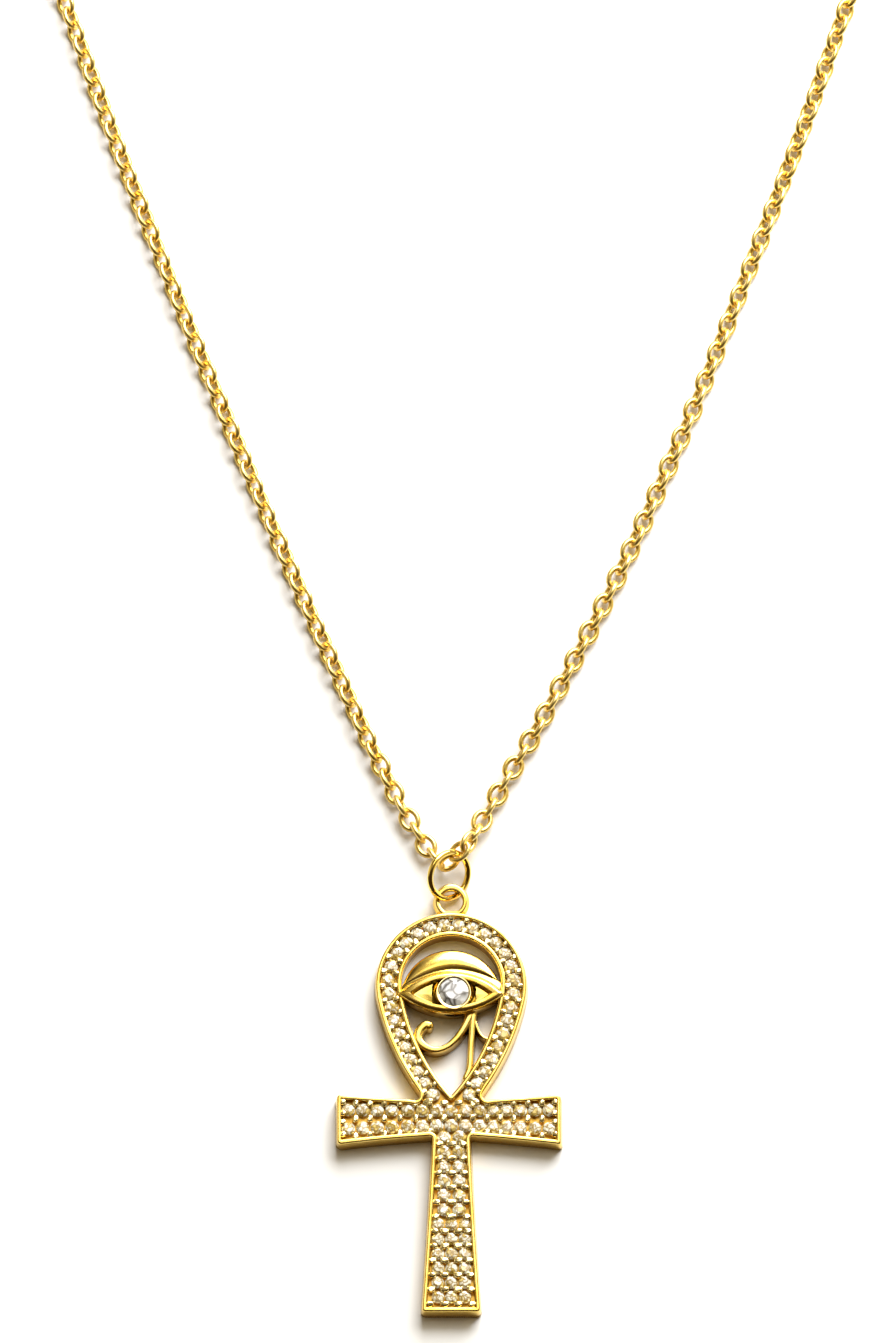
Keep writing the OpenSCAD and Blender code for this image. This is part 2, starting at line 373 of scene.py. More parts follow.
class Wiring:
    """Adds nodes to a node tree and links them."""

    def __init__(self, tree: bpy.types.NodeTree) -> None:
        """Takes the tree that the nodes go into."""
        self.tree = tree

    def add(self, kind: str, inputs: dict[str | int, object] | None = None,
            **settings: object) -> bpy.types.Node:
        """Adds a node.

        Args:
            kind: The node's type.
            inputs: A value, or another node's output, for each named or numbered input.
            settings: The node's own properties.

        Returns:
            The new node.
        """
        node = self.tree.nodes.new(kind)
        for key, value in settings.items():
            setattr(node, key, value)
        for key, value in (inputs or {}).items():
            if isinstance(value, bpy.types.NodeSocket):
                self.tree.links.new(value, node.inputs[key])
            else:
                node.inputs[key].default_value = value
        return node

    def socket(self, name: str, kind: str, value: object = None, output: bool = False) -> None:
        """Adds an input or an output to the group.

        Args:
            name: The socket's name.
            kind: Its type, without the words NodeSocket.
            value: Its first value, if any.
            output: Whether it is an output.
        """
        made = self.tree.interface.new_socket(
            name=name, in_out="OUTPUT" if output else "INPUT", socket_type=f"NodeSocket{kind}")
        if value is not None:
            made.default_value = value

    def sockets(self, kind: str, values: dict[str, object]) -> None:
        """Adds inputs of one kind to the group, each with its first value."""
        for name, value in values.items():
            self.socket(name, kind, value)

    def calc(self, operation: str, first: object, second: object) -> bpy.types.NodeSocket:
        """Adds a Math node and returns its result."""
        return self.add("ShaderNodeMath", {0: first, 1: second}, operation=operation).outputs[0]

    def vector(self, operation: str, first: object, second: object) -> bpy.types.NodeSocket:
        """Adds a Vector Math node and returns its result."""
        return self.add("ShaderNodeVectorMath", {0: first, 1: second}, operation=operation).outputs[0]

    def scaled(self, vector: object, factor: object) -> bpy.types.NodeSocket:
        """Adds a Vector Math node that scales a vector, and returns its result."""
        return self.add(
            "ShaderNodeVectorMath", {0: vector, "Scale": factor}, operation="SCALE").outputs[0]

    def share(self, value: object, low: object, high: object) -> bpy.types.NodeSocket:
        """Adds a Map Range node and returns the value's share of the way from low to high."""
        return self.add(
            "ShaderNodeMapRange", {"Value": value, "From Min": low, "From Max": high}).outputs[0]

    def blend(self, share: object, first: object, second: object) -> bpy.types.NodeSocket:
        """Adds a Mix node and returns the colour at a share of the way from the first to the second."""
        return self.add("ShaderNodeMix", {0: share, 6: first, 7: second}, data_type="RGBA").outputs[2]

    def deliver(self, copies: bpy.types.NodeSocket, finish: bpy.types.NodeSocket) -> None:
        """Ends a Geometry Nodes tree, with its instances made real and dressed.

        Args:
            copies: The instances.
            finish: Their material.
        """
        real = self.add("GeometryNodeRealizeInstances", {"Geometry": copies})
        dressed = self.add("GeometryNodeSetMaterial", {"Geometry": real.outputs[0], "Material": finish})
        self.add("NodeGroupOutput", {"Geometry": dressed.outputs[0]})


def polish_group() -> bpy.types.NodeTree:
    """Builds the shader group of polished metal: cloudy tone, uneven gloss, a fine hammered height and a
    painted foot shade.

    Returns:
        The group.
    """
    kit = Wiring(bpy.data.node_groups.new("polish", "ShaderNodeTree"))
    kit.sockets("Color", {"Light": (1, 1, 1, 1), "Deep": (1, 1, 1, 1), "Foot": (1, 1, 1, 1)})
    kit.sockets("Float", {
        "Foot Low": 0.0002, "Foot Top": 0.0015, "Roughness": 0.1, "Spread": 0.05, "Cloud Scale": 400.0,
        "Grain Scale": 3000.0})
    kit.socket("Color", "Color", output=True)
    kit.socket("Roughness", "Float", output=True)
    kit.socket("Height", "Float", output=True)
    given = kit.add("NodeGroupInput").outputs
    place = kit.add("ShaderNodeTexCoord").outputs["Object"]
    cloud = kit.add("ShaderNodeTexNoise", {
        "Vector": place, "Scale": given["Cloud Scale"], "Detail": 3.0, "Roughness": 0.55}).outputs["Fac"]
    grain = kit.add("ShaderNodeTexNoise", {
        "Vector": place, "Scale": given["Grain Scale"], "Detail": 4.0, "Roughness": 0.6}).outputs["Fac"]
    body = kit.blend(kit.share(cloud, 0.35, 0.65), given["Deep"], given["Light"])
    # Painted shade: the colour turns to the Foot colour below Foot Low and fades back to the gold by
    # Foot Top.
    above = kit.add("ShaderNodeSeparateXYZ", {0: place}).outputs[2]
    low = kit.share(above, given["Foot Low"], given["Foot Top"])
    kit.add("NodeGroupOutput", {
        "Color": kit.blend(low, given["Foot"], body),
        "Roughness": kit.calc("ADD", kit.calc("MULTIPLY", grain, given["Spread"]), given["Roughness"]),
        "Height": kit.calc("ADD", cloud, grain)})
    return kit.tree


def new_material(name: str) -> tuple[bpy.types.Material, Wiring]:
    """Makes an empty node material.

    Args:
        name: The material's name.

    Returns:
        The material, and the wiring of its tree.
    """
    material = bpy.data.materials.new(name)
    material.use_nodes = True
    material.node_tree.nodes.clear()
    return material, Wiring(material.node_tree)


@dataclass(frozen=True)
class GoldFinish:
    """Polished yellow gold plate, with a painted shade at its foot.

    Attributes:
        name: The material's name.
        light: Colour of the brighter clouds.
        deep: Colour of the darker clouds.
        foot: Colour of the painted shade near the surface that the piece lies on.
        foot_low: Height up to which the painted shade is full, in metres.
        foot_top: Height at which the painted shade has faded away, in metres.
        roughness: Least roughness.
        spread: How much rougher the roughest grain is.
        relief: Strength of the fine relief.
        cloud: How many clouds there are in a metre.
        grain: How many grains there are in a metre.
    """

    name: str
    light: Colour = (0.98, 0.73, 0.22, 1)
    deep: Colour = (0.9, 0.62, 0.11, 1)
    # Painted shade near the surface that the piece lies on.
    foot: Colour = (0.74, 0.46, 0.04, 1)
    foot_low: float = 0.0002
    foot_top: float = 0.0018
    roughness: float = 0.15
    spread: float = 0.1
    relief: float = 0.08
    cloud: float = 500.0
    grain: float = 3500.0

    def build(self, polish: bpy.types.NodeTree) -> bpy.types.Material:
        """Builds the material.

        Args:
            polish: The shared group of polished metal.

        Returns:
            The material.
        """
        material, kit = new_material(self.name)
        look = kit.add("ShaderNodeGroup", {
            "Light": self.light, "Deep": self.deep, "Foot": self.foot, "Foot Low": self.foot_low,
            "Foot Top": self.foot_top, "Roughness": self.roughness, "Spread": self.spread,
            "Cloud Scale": self.cloud, "Grain Scale": self.grain}, node_tree=polish)
        bump = kit.add("ShaderNodeBump", {
            "Height": look.outputs["Height"], "Strength": self.relief, "Distance": BUMP_DEPTH})
        shader = kit.add("ShaderNodeBsdfPrincipled", {
            "Base Color": look.outputs["Color"], "Roughness": look.outputs["Roughness"],
            "Normal": bump.outputs["Normal"], "Metallic": 1.0})
        kit.add("ShaderNodeOutputMaterial", {"Surface": shader.outputs["BSDF"]})
        return material


def painted_sparkle_group() -> bpy.types.NodeTree:
    """Builds the shader group of a cut stone's painted sparkle: bright cells between dark lines.

    Returns:
        The group.
    """
    kit = Wiring(bpy.data.node_groups.new("facet_lines", "ShaderNodeTree"))
    kit.sockets("Color", {"Tint": (1, 1, 1, 1), "Cloud": (1, 1, 1, 1), "Line": (0.4, 0.4, 0.4, 1)})
    kit.sockets("Float", {"Scale": 1500.0, "Wide": 0.1})
    kit.socket("Color", "Color", output=True)
    given = kit.add("NodeGroupInput").outputs
    scale = given["Scale"]
    place = kit.add("ShaderNodeTexCoord").outputs["Object"]
    ripple = kit.add("ShaderNodeTexNoise", {"Vector": place, "Scale": scale, "Detail": 1.0})
    bent = kit.vector("ADD", place, kit.scaled(ripple.outputs["Color"], 0.0009))
    chance = kit.add("ShaderNodeTexVoronoi", {"Vector": bent, "Scale": scale}, feature="F1")
    cells = kit.add("ShaderNodeTexVoronoi", {"Vector": bent, "Scale": scale}, feature="DISTANCE_TO_EDGE")
    # Painted sparkle and reflections: bright Tint cells, duller Cloud cells and dark Line edges between
    # them.
    bright = kit.share(chance.outputs["Color"], 0.3, 0.42)
    body = kit.blend(bright, given["Cloud"], given["Tint"])
    inside = kit.share(cells.outputs["Distance"], 0.01, given["Wide"])
    kit.add("NodeGroupOutput", {"Color": kit.blend(inside, given["Line"], body)})
    return kit.tree


@dataclass(frozen=True)
class StoneFinish:
    """A clear cut stone, whose sparkle and reflections are painted into its colour.

    Attributes:
        name: The material's name.
        tint: Its colour, the painted sparkle of its bright places.
        cloud: The colour of its duller places, a painted reflection of the gold under it.
        line: The colour of the lines between its bright places, painted dark reflections.
        scale: How many bright places there are in a metre.
        wide: How wide the lines are, as a share of the bright places.
        clear: Share of the light that passes through.
        index: Refractive index.
        roughness: Roughness of the facets.
    """

    name: str
    tint: Colour = (1.0, 0.97, 0.8, 1)
    cloud: Colour = (0.88, 0.66, 0.2, 1)
    line: Colour = (0.36, 0.21, 0.02, 1)
    scale: float = 1900.0
    wide: float = 0.22
    clear: float = 0.15
    index: float = 2.0
    roughness: float = 0.01

    def build(self, facets: bpy.types.NodeTree) -> bpy.types.Material:
        """Builds the material.

        Args:
            facets: The shared group of the painted facet sparkle.

        Returns:
            The material.
        """
        material, kit = new_material(self.name)
        look = kit.add("ShaderNodeGroup", {
            "Tint": self.tint, "Cloud": self.cloud, "Line": self.line, "Scale": self.scale,
            "Wide": self.wide}, node_tree=facets)
        shader = kit.add("ShaderNodeBsdfPrincipled", {
            "Base Color": look.outputs["Color"], "Roughness": self.roughness, "IOR": self.index,
            "Transmission Weight": self.clear})
        kit.add("ShaderNodeOutputMaterial", {"Surface": shader.outputs["BSDF"]})
        return material


@dataclass(frozen=True)
class PaperFinish:
    """The matt white surface under the necklace.

    Attributes:
        name: The material's name.
        colour: Its colour.
        roughness: Its roughness.
        tooth: How many grains there are in a metre.
        relief: Strength of the grains' relief.
    """

    name: str = "white_surface"
    colour: Colour = (0.93, 0.925, 0.92, 1)
    roughness: float = 0.75
    tooth: float = 1500.0
    relief: float = 0.05

    def build(self) -> bpy.types.Material:
        """Builds the material, with a faint tooth.

        Returns:
            The material.
        """
        material, kit = new_material(self.name)
        place = kit.add("ShaderNodeTexCoord").outputs["Object"]
        grain = kit.add("ShaderNodeTexNoise", {"Vector": place, "Scale": self.tooth, "Detail": 4.0})
        bump = kit.add("ShaderNodeBump", {
            "Height": grain.outputs["Fac"], "Strength": self.relief, "Distance": BUMP_DEPTH})
        shader = kit.add("ShaderNodeBsdfPrincipled", {
            "Base Color": self.colour, "Roughness": self.roughness, "Normal": bump.outputs["Normal"]})
        kit.add("ShaderNodeOutputMaterial", {"Surface": shader.outputs["BSDF"]})
        return material


@dataclass(frozen=True)
class AnkhOutline:
    """The outline of the ankh and of the opening in its loop, drawn in or out by any amount.

    The loop and its opening are teardrops: a round top between two wide side arcs that end in a tip.

    Attributes:
        arm_span: Width across both arms.
        arm_end_h: Height of the arms at their ends.
        arm_mid_h: Height of the arms at the middle.
        arm_droop: How much further the arms' lower edge falls at their ends.
        arm_shift: How far the arms lie to one side.
        arm_bow: Power of the arms' growth towards their ends.
        shift_from: Distance from the middle at which the arms' shift starts.
        shift_run: Distance over which it grows to its full amount.
        shift_reach: Distance above or below the arms' middle at which the shift has faded away.
        shift_fade: Distance over which it fades.
        stem_len: From the arms' middle to the foot.
        stem_foot_w: Width of the foot.
        stem_top_w: Width of the stem at the arms' middle.
        stem_bow: Power of the stem's growth towards its foot.
        loop_r: Radius of the loop's round top.
        loop_y: Height of the round top's centre.
        loop_tip_y: Height of the loop's tip.
        loop_turn: How far the round top runs on below its centre, in degrees.
        opening_r: Radius of the opening's round top.
        opening_y: Height of its centre.
        opening_tip_y: Height of the opening's tip.
        opening_turn: How far its round top runs on below its centre, in degrees.
        corner_r: Radius of the outer corners.
        least_r: Least radius of an outer corner that is drawn in.
        arm_crotch_r: Radius between the stem and an arm.
        loop_crotch_r: Radius between an arm and the loop.
        tip_r: Radius of the opening's tip.
    """

    arm_span: float = 21.0
    arm_end_h: float = 4.6
    arm_mid_h: float = 3.35
    arm_droop: float = 0.28
    arm_shift: float = -0.22
    arm_bow: float = 1.4
    shift_from: float = 3.4
    shift_run: float = 2.5
    shift_reach: float = 2.9
    shift_fade: float = 0.7
    stem_len: float = 18.78
    stem_foot_w: float = 5.48
    stem_top_w: float = 3.4
    stem_bow: float = 1.2
    loop_r: float = 7.08
    loop_y: float = 12.9
    loop_tip_y: float = -0.85
    loop_turn: float = 12
    opening_r: float = 4.7
    opening_y: float = 13.05
    opening_tip_y: float = 2.2
    opening_turn: float = 8
    corner_r: float = 0.32
    least_r: float = 0.08
    arm_crotch_r: float = 0.3
    loop_crotch_r: float = 0.5
    tip_r: float = 0.1

    def stem_half(self, y: float) -> float:
        """Returns half the stem's width at a height."""
        share = max(-y / self.stem_len, 0)
        return mix(self.stem_top_w, self.stem_foot_w, share**self.stem_bow) / 2

    def arm_half(self, x: float) -> float:
        """Returns half the arms' height at a distance from the middle."""
        return mix(self.arm_mid_h, self.arm_end_h, abs(2 * x / self.arm_span) ** self.arm_bow) / 2

    def arm_low(self, x: float) -> float:
        """Returns how far the arms' lower edge lies below the middle, at a distance from the middle."""
        return self.arm_half(x) + self.arm_droop * abs(2 * x / self.arm_span) ** self.arm_bow

    def shifted(self, x: float, y: float) -> Point:
        """Moves a point of the arms to one side.

        Args:
            x: The point's distance across.
            y: Its distance up.

        Returns:
            The point after the arms' shift, which leaves the stem and the loop where they are.
        """
        out = min(max((abs(x) - self.shift_from) / self.shift_run, 0), 1)
        fade = min(max((self.shift_reach - abs(y)) / self.shift_fade, 0), 1)
        return x + self.arm_shift * out * fade, y

    @staticmethod
    def side_reach(radius: float, drop: float, turn: float) -> float:
        """Returns how far beyond the round top's centre the side arcs' centres lie."""
        return (drop**2 - radius**2) / (2 * (radius - drop * math.sin(math.radians(turn))))

    def side_arc(self, radius: float, y: float, tip: float, turn: float) -> tuple[Point, float]:
        """Returns the centre and the radius of a teardrop's right side."""
        reach = self.side_reach(radius, y - tip, turn)
        return on_circle((0, y), reach, 180 - turn), reach + radius

    def outer(self, inset: float) -> Outline:
        """Draws the ankh's outer edge.

        Args:
            inset: How far the edge is drawn in, or out where it is negative.

        Returns:
            A closed outline that starts at the foot and runs to the right.
        """
        reach_x = self.arm_span / 2 - inset
        reach_y = self.stem_len - inset
        convex = max(self.corner_r - inset, self.least_r)
        centre, radius = self.side_arc(self.loop_r, self.loop_y, self.loop_tip_y, self.loop_turn)
        radius -= inset
        # Each crotch is where two curves cross. A few turns between the curves close in on it.
        y = -self.arm_mid_h / 2
        for _ in range(6):
            x = self.stem_half(y) - inset
            y = inset - self.arm_low(x)
        arm_crotch = (x, y)
        y = self.arm_mid_h / 2
        for _ in range(12):
            x = centre[0] + math.sqrt(radius**2 - (y - centre[1]) ** 2)
            y = self.arm_half(x) - inset
        loop_crotch = (x, y)
        start = math.degrees(math.asin((y - centre[1]) / radius))
        foot = (self.stem_half(-reach_y) - inset, -reach_y)
        low = (reach_x, inset - self.arm_low(reach_x))
        high = (reach_x, self.arm_half(reach_x) - inset)
        slope = self.arm_bow * (self.arm_end_h - self.arm_mid_h) / self.arm_span
        up_foot = (-0.06, 1)
        up_stem = (-0.03, 1)
        up_loop = (-math.sin(math.radians(start)), math.cos(math.radians(start)))
        half = [(0.0, -reach_y)]
        half += rounded(foot, (1, 0), up_foot, convex, 5)
        crotch = rounded(arm_crotch, up_stem, (1, 0), self.arm_crotch_r + inset, 5)
        half += [(self.stem_half(v) - inset, v) for v in spread(half[-1][1], crotch[0][1], 16)[1:-1]]
        half += crotch
        corner = rounded(low, (1, -slope), (0, 1), convex, 5)
        half += [(u, inset - self.arm_low(u)) for u in spread(half[-1][0], corner[0][0], 14)[1:-1]]
        half += corner
        half += rounded(high, (0, 1), (-1, -slope), convex, 5)
        crotch = rounded(loop_crotch, (-1, 0), up_loop, self.loop_crotch_r + inset, 8)
        half += [(u, self.arm_half(u) - inset) for u in spread(half[-1][0], crotch[0][0], 12)[1:-1]]
        half += crotch
        start = math.degrees(math.asin((crotch[-1][1] - centre[1]) / radius))
        half += [on_circle(centre, radius, a) for a in spread(start, -self.loop_turn, 24)[1:]]
        top = self.loop_r - inset
        half += [on_circle((0, self.loop_y), top, a) for a in spread(-self.loop_turn, 90, 34)[1:]]
        return [self.shifted(x, y) for x, y in half + [(-u, v) for u, v in reversed(half[1:-1])]]

    def opening(self, outset: float) -> Outline:
        """Draws the opening inside the loop.

        Args:
            outset: How far the edge is drawn out, into the band.

        Returns:
            A closed outline that starts at the tip and runs to the right.
        """
        centre, radius = self.side_arc(
            self.opening_r, self.opening_y, self.opening_tip_y, self.opening_turn)
        radius += outset
        start = -math.degrees(math.acos(-centre[0] / radius))
        tip = (0.0, on_circle(centre, radius, start)[1])
        lean = (-math.sin(math.radians(start)), math.cos(math.radians(start)))
        arc = rounded(tip, (lean[0], -lean[1]), lean, self.tip_r + outset / 2, 8)
        half = arc[4:]
        start = math.degrees(math.asin((half[-1][1] - centre[1]) / radius))
        half += [on_circle(centre, radius, a) for a in spread(start, -self.opening_turn, 26)[1:]]
        top = self.opening_r + outset
        half += [on_circle((0, self.opening_y), top, a)
                 for a in spread(-self.opening_turn, 90, 34)[1:]]
        return half + [(-x, y) for x, y in reversed(half[1:-1])]


@dataclass
class Tray:
    """The cast body of the ankh: flat back, drafted sides, and rims round the sunken stones.

    Attributes:
        outline: The ankh's outline.
        top: Height of the rims.
        floor: Height of the floor between them.
        rim_w: Width of a rim.
        flare: How far the outer wall's foot stands out.
        inner_flare: The same at the opening's wall, as a share of flare.
        edge_r: Radius of the rims' outer edges.
        bed: Height of the plate under the stones.
        bed_t: Its thickness.
        bed_gap: How far it stays off the rims' inner edges.
        lining_t: How far the lining stands out of the opening's wall.
        lining_foot: Height of its lower edge.
        lining_gap: How far its upper edge stays below the rim's rounding.
        lining_depth: How far its edges reach into the wall.
    """

    outline: AnkhOutline
    top: float = 1.8
    floor: float = 0.92
    rim_w: float = 0.4
    flare: float = 0.15
    inner_flare: float = 0.4
    edge_r: float = 0.145
    bed: float = 0.95
    bed_t: float = 0.2
    bed_gap: float = 0.05
    lining_t: float = 0.015
    lining_foot: float = 0.12
    lining_gap: float = 0.02
    lining_depth: float = 0.05

    def wall(self, flare: float) -> list[Point]:
        """Lists the inset and the height of each ring, from the back over the rim to the floor.

        Args:
            flare: How far the wall's foot stands out.

        Returns:
            The rings' insets and heights.
        """
        rim = self.rim_w
        lift = self.top - self.edge_r
        rounding = [(self.edge_r * (1 - math.cos(a)), lift + self.edge_r * math.sin(a))
                    for a in [math.radians(d) for d in (0, 22, 45, 68, 90)]]
        return [
            (0.1 - flare, 0), (0.03 - flare, 0.03), (-flare, 0.1), (-0.4 * flare, 0.55 * self.top),
            *rounding, (rim - 0.08, self.top), (rim - 0.03, self.top - 0.02), (rim, self.top - 0.08),
            (rim + 0.03, self.floor + 0.05), (rim + 0.07, self.floor)]

    @staticmethod
    def frame_shape(outer: list[list[int]], inner: list[list[int]], shell: Shell) -> None:
        """Adds a closed shape with a hole.

        Args:
            outer: The rings up its outer wall.
            inner: As many rings up the hole's wall.
            shell: Where the rings are.
        """
        shell.loft(outer)
        shell.loft(inner)
        shell.fill(outer[0], inner[0])
        shell.fill(outer[-1], inner[-1])

    def build(self, finish: bpy.types.Material) -> None:
        """Builds the tray and settles it in place of the casting.

        Args:
            finish: The tray's material.
        """
        shell = Shell()
        outer = [shell.ring(self.outline.outer(d), z) for d, z in self.wall(self.flare)]
        hole = self.wall(self.inner_flare * self.flare)
        inner = [shell.ring(self.outline.opening(d), z) for d, z in hole]
        self.frame_shape(outer, inner, shell)
        settle(shell.piece("ankh_tray"), finish, Slot.CAST_GOLD, "ankh_casting")

    def build_shade_lining(self, finish: bpy.types.Material) -> None:
        """Lays a thin skin of darker gold over the wall of the loop's opening, below its rim: painted
        shade inside the opening.

        Args:
            finish: The skin's material, which paints the shade.
        """
        low, high = self.lining_foot, self.top - self.edge_r - self.lining_gap
        shell = Shell()
        rings = [shell.ring(self.outline.opening(d), z) for d, z in (
            (self.lining_depth, low), (-0.4 * self.flare - self.lining_t, low),
            (-0.16 * self.flare - self.lining_t, 0.55 * self.top), (-self.lining_t, high),
            (self.lining_depth, high))]
        shell.loft([*rings, rings[0]])
        settle(shell.piece("opening_wall"), finish, Slot.CAST_GOLD)

    def build_bed(self, finish: bpy.types.Material) -> None:
        """Lays a plate of duller, deeper gold over the floor between the rims.

        Args:
            finish: The plate's material.
        """
        shell = Shell()
        edge = self.rim_w + self.bed_gap
        levels = (self.bed - self.bed_t, self.bed)
        outer = [shell.ring(self.outline.outer(edge), z) for z in levels]
        inner = [shell.ring(self.outline.opening(edge), z) for z in levels]
        self.frame_shape(outer, inner, shell)
        settle(shell.piece("stone_bed"), finish, Slot.CAST_GOLD)


@dataclass
class Bail:
    """The ring cast on top of the loop, flared towards its back.

    Attributes:
        outline: The ankh's outline.
        rise: From the loop's top to the hole's centre.
        hole_r: Radius of the hole.
        face_w: Width of the ring's face at its sides.
        crown_w: Width of the face at the top.
        flare: How far the wall's foot stands out.
        back: Height of the back off the surface.
        face: Height of the face.
        ends: Angles where the ring starts and ends, in degrees.
        web_half: Half the width of the web below the hole.
        web_low: The web's lower edge, up the pendant.
        web_top: Its upper edge.
        web_back: Height of its back off the surface.
        web_drop: How far its face lies below the ring's.
        rows: Number of sections round the ring.
        web_rows: Number of sections across the web.
    """

    outline: AnkhOutline
    rise: float = 1.2
    hole_r: float = 1.08
    face_w: float = 0.43
    crown_w: float = 0.62
    flare: float = 0.2
    back: float = 0.75
    face: float = 1.42
    ends: Point = (-62, 242)
    web_half: float = 0.85
    web_low: float = 19.85
    web_top: float = 20.3
    web_back: float = 0.8
    web_drop: float = 0.015
    rows: int = 60
    web_rows: int = 19

    def section(self, degrees: float) -> list[Point]:
        """Finds the wall's section.

        Args:
            degrees: The angle at which the wall is cut.

        Returns:
            The radius and the height of each point of the section.
        """
        band = mix(self.face_w, self.crown_w, max(math.sin(math.radians(degrees)), 0) ** 2)
        inner = self.hole_r
        outer = inner + band
        foot = outer + self.flare
        return [
            (inner + 0.02, self.back), (inner, self.back + 0.06), (inner, self.face - 0.1),
            (inner + 0.03, self.face - 0.03), (inner + 0.1, self.face), (outer - 0.12, self.face),
            (outer - 0.04, self.face - 0.03), (outer, self.face - 0.1),
            (foot, self.back + 0.07), (foot - 0.05, self.back)]

    def web_section(self, x: float) -> list[Place]:
        """Finds the web's section.

        Args:
            x: The distance across at which the web is cut.

        Returns:
            The section's points.
        """
        low = self.web_low - 0.05 * x * x
        high = self.web_top + 0.08 * x * x
        back, top = self.web_back, self.face - self.web_drop
        return [(x, y, z) for y, z in (
            (low, back), (high - 0.06, back), (high, back + 0.06), (high, top - 0.1), (high - 0.07, top),
            (low, top))]

    def build(self, finish: bpy.types.Material) -> None:
        """Builds the ring and the web below its hole.

        Args:
            finish: The bail's material.
        """
        hole = (0, self.outline.loop_y + self.outline.loop_r + self.rise)
        shell = Shell()
        shell.tube([
            shell.add((*on_circle(hole, r, degrees), z) for r, z in self.section(degrees))
            for degrees in spread(*self.ends, self.rows)])
        across = spread(-self.web_half, self.web_half, self.web_rows)
        shell.tube([shell.add(self.web_section(x)) for x in across])
        settle(shell.piece("bail"), finish, Slot.CAST_GOLD)


@dataclass
class Eye:
    """The almond eye: its body and lids, the hollow with its pit for the stone, and the bezel.

    Attributes:
        y: Height of the eye's corners up the pendant.
        half_w: Half the eye's width.
        rise: Height of its upper arc.
        fall: Height of its lower arc.
        hollow_w: Half the hollow's width.
        hollow_rise: Height of the hollow's upper arc.
        hollow_fall: Height of its lower arc.
        under: Height of the eye's underside off the surface.
        crest: Height of the lids' crest.
        tip_drop: How much lower the crest is at the tips.
        floor: Height of the hollow's floor.
        stone_x: The stone's place across.
        stone_y: The stone's place up the pendant.
        stone_r: Radius of its seat.
        stone_z: Height of its girdle.
        bezel_r: Outer radius of the bezel.
        bezel_top: Height of the bezel.
        skirt: How far the bezel's skirt reaches beyond it.
        pit_r: Radius of the pit under the stone.
        pit: Height of the pit's bottom.
        lid: Inset, and drop below the crest, of each ring over the lids.
        arc_points: Number of points in an arc.
    """

    y: float = 12.03
    half_w: float = 5.1
    rise: float = 1.97
    fall: float = 2.02
    hollow_w: float = 3.8
    hollow_rise: float = 1.4
    hollow_fall: float = 1.3
    under: float = 0.15
    crest: float = 2.5
    tip_drop: float = 0.4
    floor: float = 1.72
    stone_x: float = 0.24
    stone_y: float = 12.02
    stone_r: float = 1.44
    stone_z: float = 2.56
    bezel_r: float = 1.63
    bezel_top: float = 2.62
    skirt: float = 0.55
    pit_r: float = 1.15
    pit: float = 1.05
    lid: tuple[Point, ...] = (
        (0, 1.2), (0, 0.52), (0.02, 0.34), (0.07, 0.17), (0.14, 0.06), (0.23, 0.01), (0.33, 0))
    arc_points: int = 47

    def arch(self, half_w: float, height: float) -> Outline:
        """Draws an arc from its right end over the top to its left end.

        Args:
            half_w: Half the distance between its ends.
            height: Its height over them.

        Returns:
            The arc's points.
        """
        radius = (half_w**2 + height**2) / (2 * height)
        reach = math.degrees(math.asin(half_w / radius))
        return [on_circle((0, height - radius), radius, 90 - reach * math.cos(t))
                for t in spread(0, math.pi, self.arc_points)]

    def almond(self, half_w: float, rise: float, fall: float) -> Outline:
        """Draws an almond of two arcs, from its right tip over the top, with slightly blunt tips.

        Args:
            half_w: Half its width.
            rise: Height of its upper arc.
            fall: Height of its lower arc.

        Returns:
            A closed outline.
        """
        top = self.arch(half_w, rise)[1:-1]
        low = self.arch(half_w, fall)[1:-1]
        return [(x, self.y + y) for x, y in top] + [(x, self.y - y) for x, y in reversed(low)]

    def lid_ring(self, shell: Shell, inset: float, drop: float) -> list[int]:
        """Adds a ring round the lids' outside, drawn in by inset and below the crest by drop."""
        return shell.ring(
            self.almond(self.half_w - 2 * inset, self.rise - inset, self.fall - 1.7 * inset),
            self.lid_height(drop))

    def lid_height(self, drop: float) -> Callable[[Point], float]:
        """Finds the height of a lid, which falls towards the tips.

        Args:
            drop: How far below the crest.

        Returns:
            A function that gives the height at a point.
        """
        def height(p: Point) -> float:
            """Returns the height at a point."""
            return self.crest - drop - self.tip_drop * abs(p[0] / self.half_w) ** 3.5
        return height

    def build_body(self, finish: bpy.types.Material) -> None:
        """Builds the almond body, its rounded lids and the hollow between them.

        Args:
            finish: The body's material.
        """
        hw, up, down = self.hollow_w, self.hollow_rise, self.hollow_fall
        shell = Shell()
        foot = self.almond(self.half_w - 0.3, self.rise - 0.12, self.fall - 0.12)
        ankle = self.almond(self.half_w - 0.12, self.rise - 0.03, self.fall - 0.03)
        pit = [on_circle((self.stone_x, self.stone_y), self.pit_r, 360 * k / len(foot))
               for k in range(len(foot))]
        shell.tube([
            shell.ring(foot, self.under), shell.ring(ankle, self.under + 0.09),
            *[self.lid_ring(shell, inset, drop) for inset, drop in self.lid],
            shell.ring(self.almond(hw + 0.12, up + 0.05, down + 0.05), self.lid_height(0.02)),
            shell.ring(self.almond(hw, up, down), self.lid_height(0.09)),
            shell.ring(self.almond(hw - 0.07, up - 0.03, down - 0.03), self.lid_height(0.2)),
            shell.ring(self.almond(hw - 0.3, up - 0.13, down - 0.13), self.floor + 0.03),
            shell.ring(self.almond(hw - 0.55, up - 0.24, down - 0.24), self.floor + 0.02),
            shell.ring(self.almond(0.62 * hw, 0.66 * up, 0.66 * down), self.floor + 0.1),
            shell.ring(pit, self.floor + 0.1), shell.ring(pit, self.pit)])
        settle(shell.piece("eye_lids"), finish, Slot.CAST_GOLD)

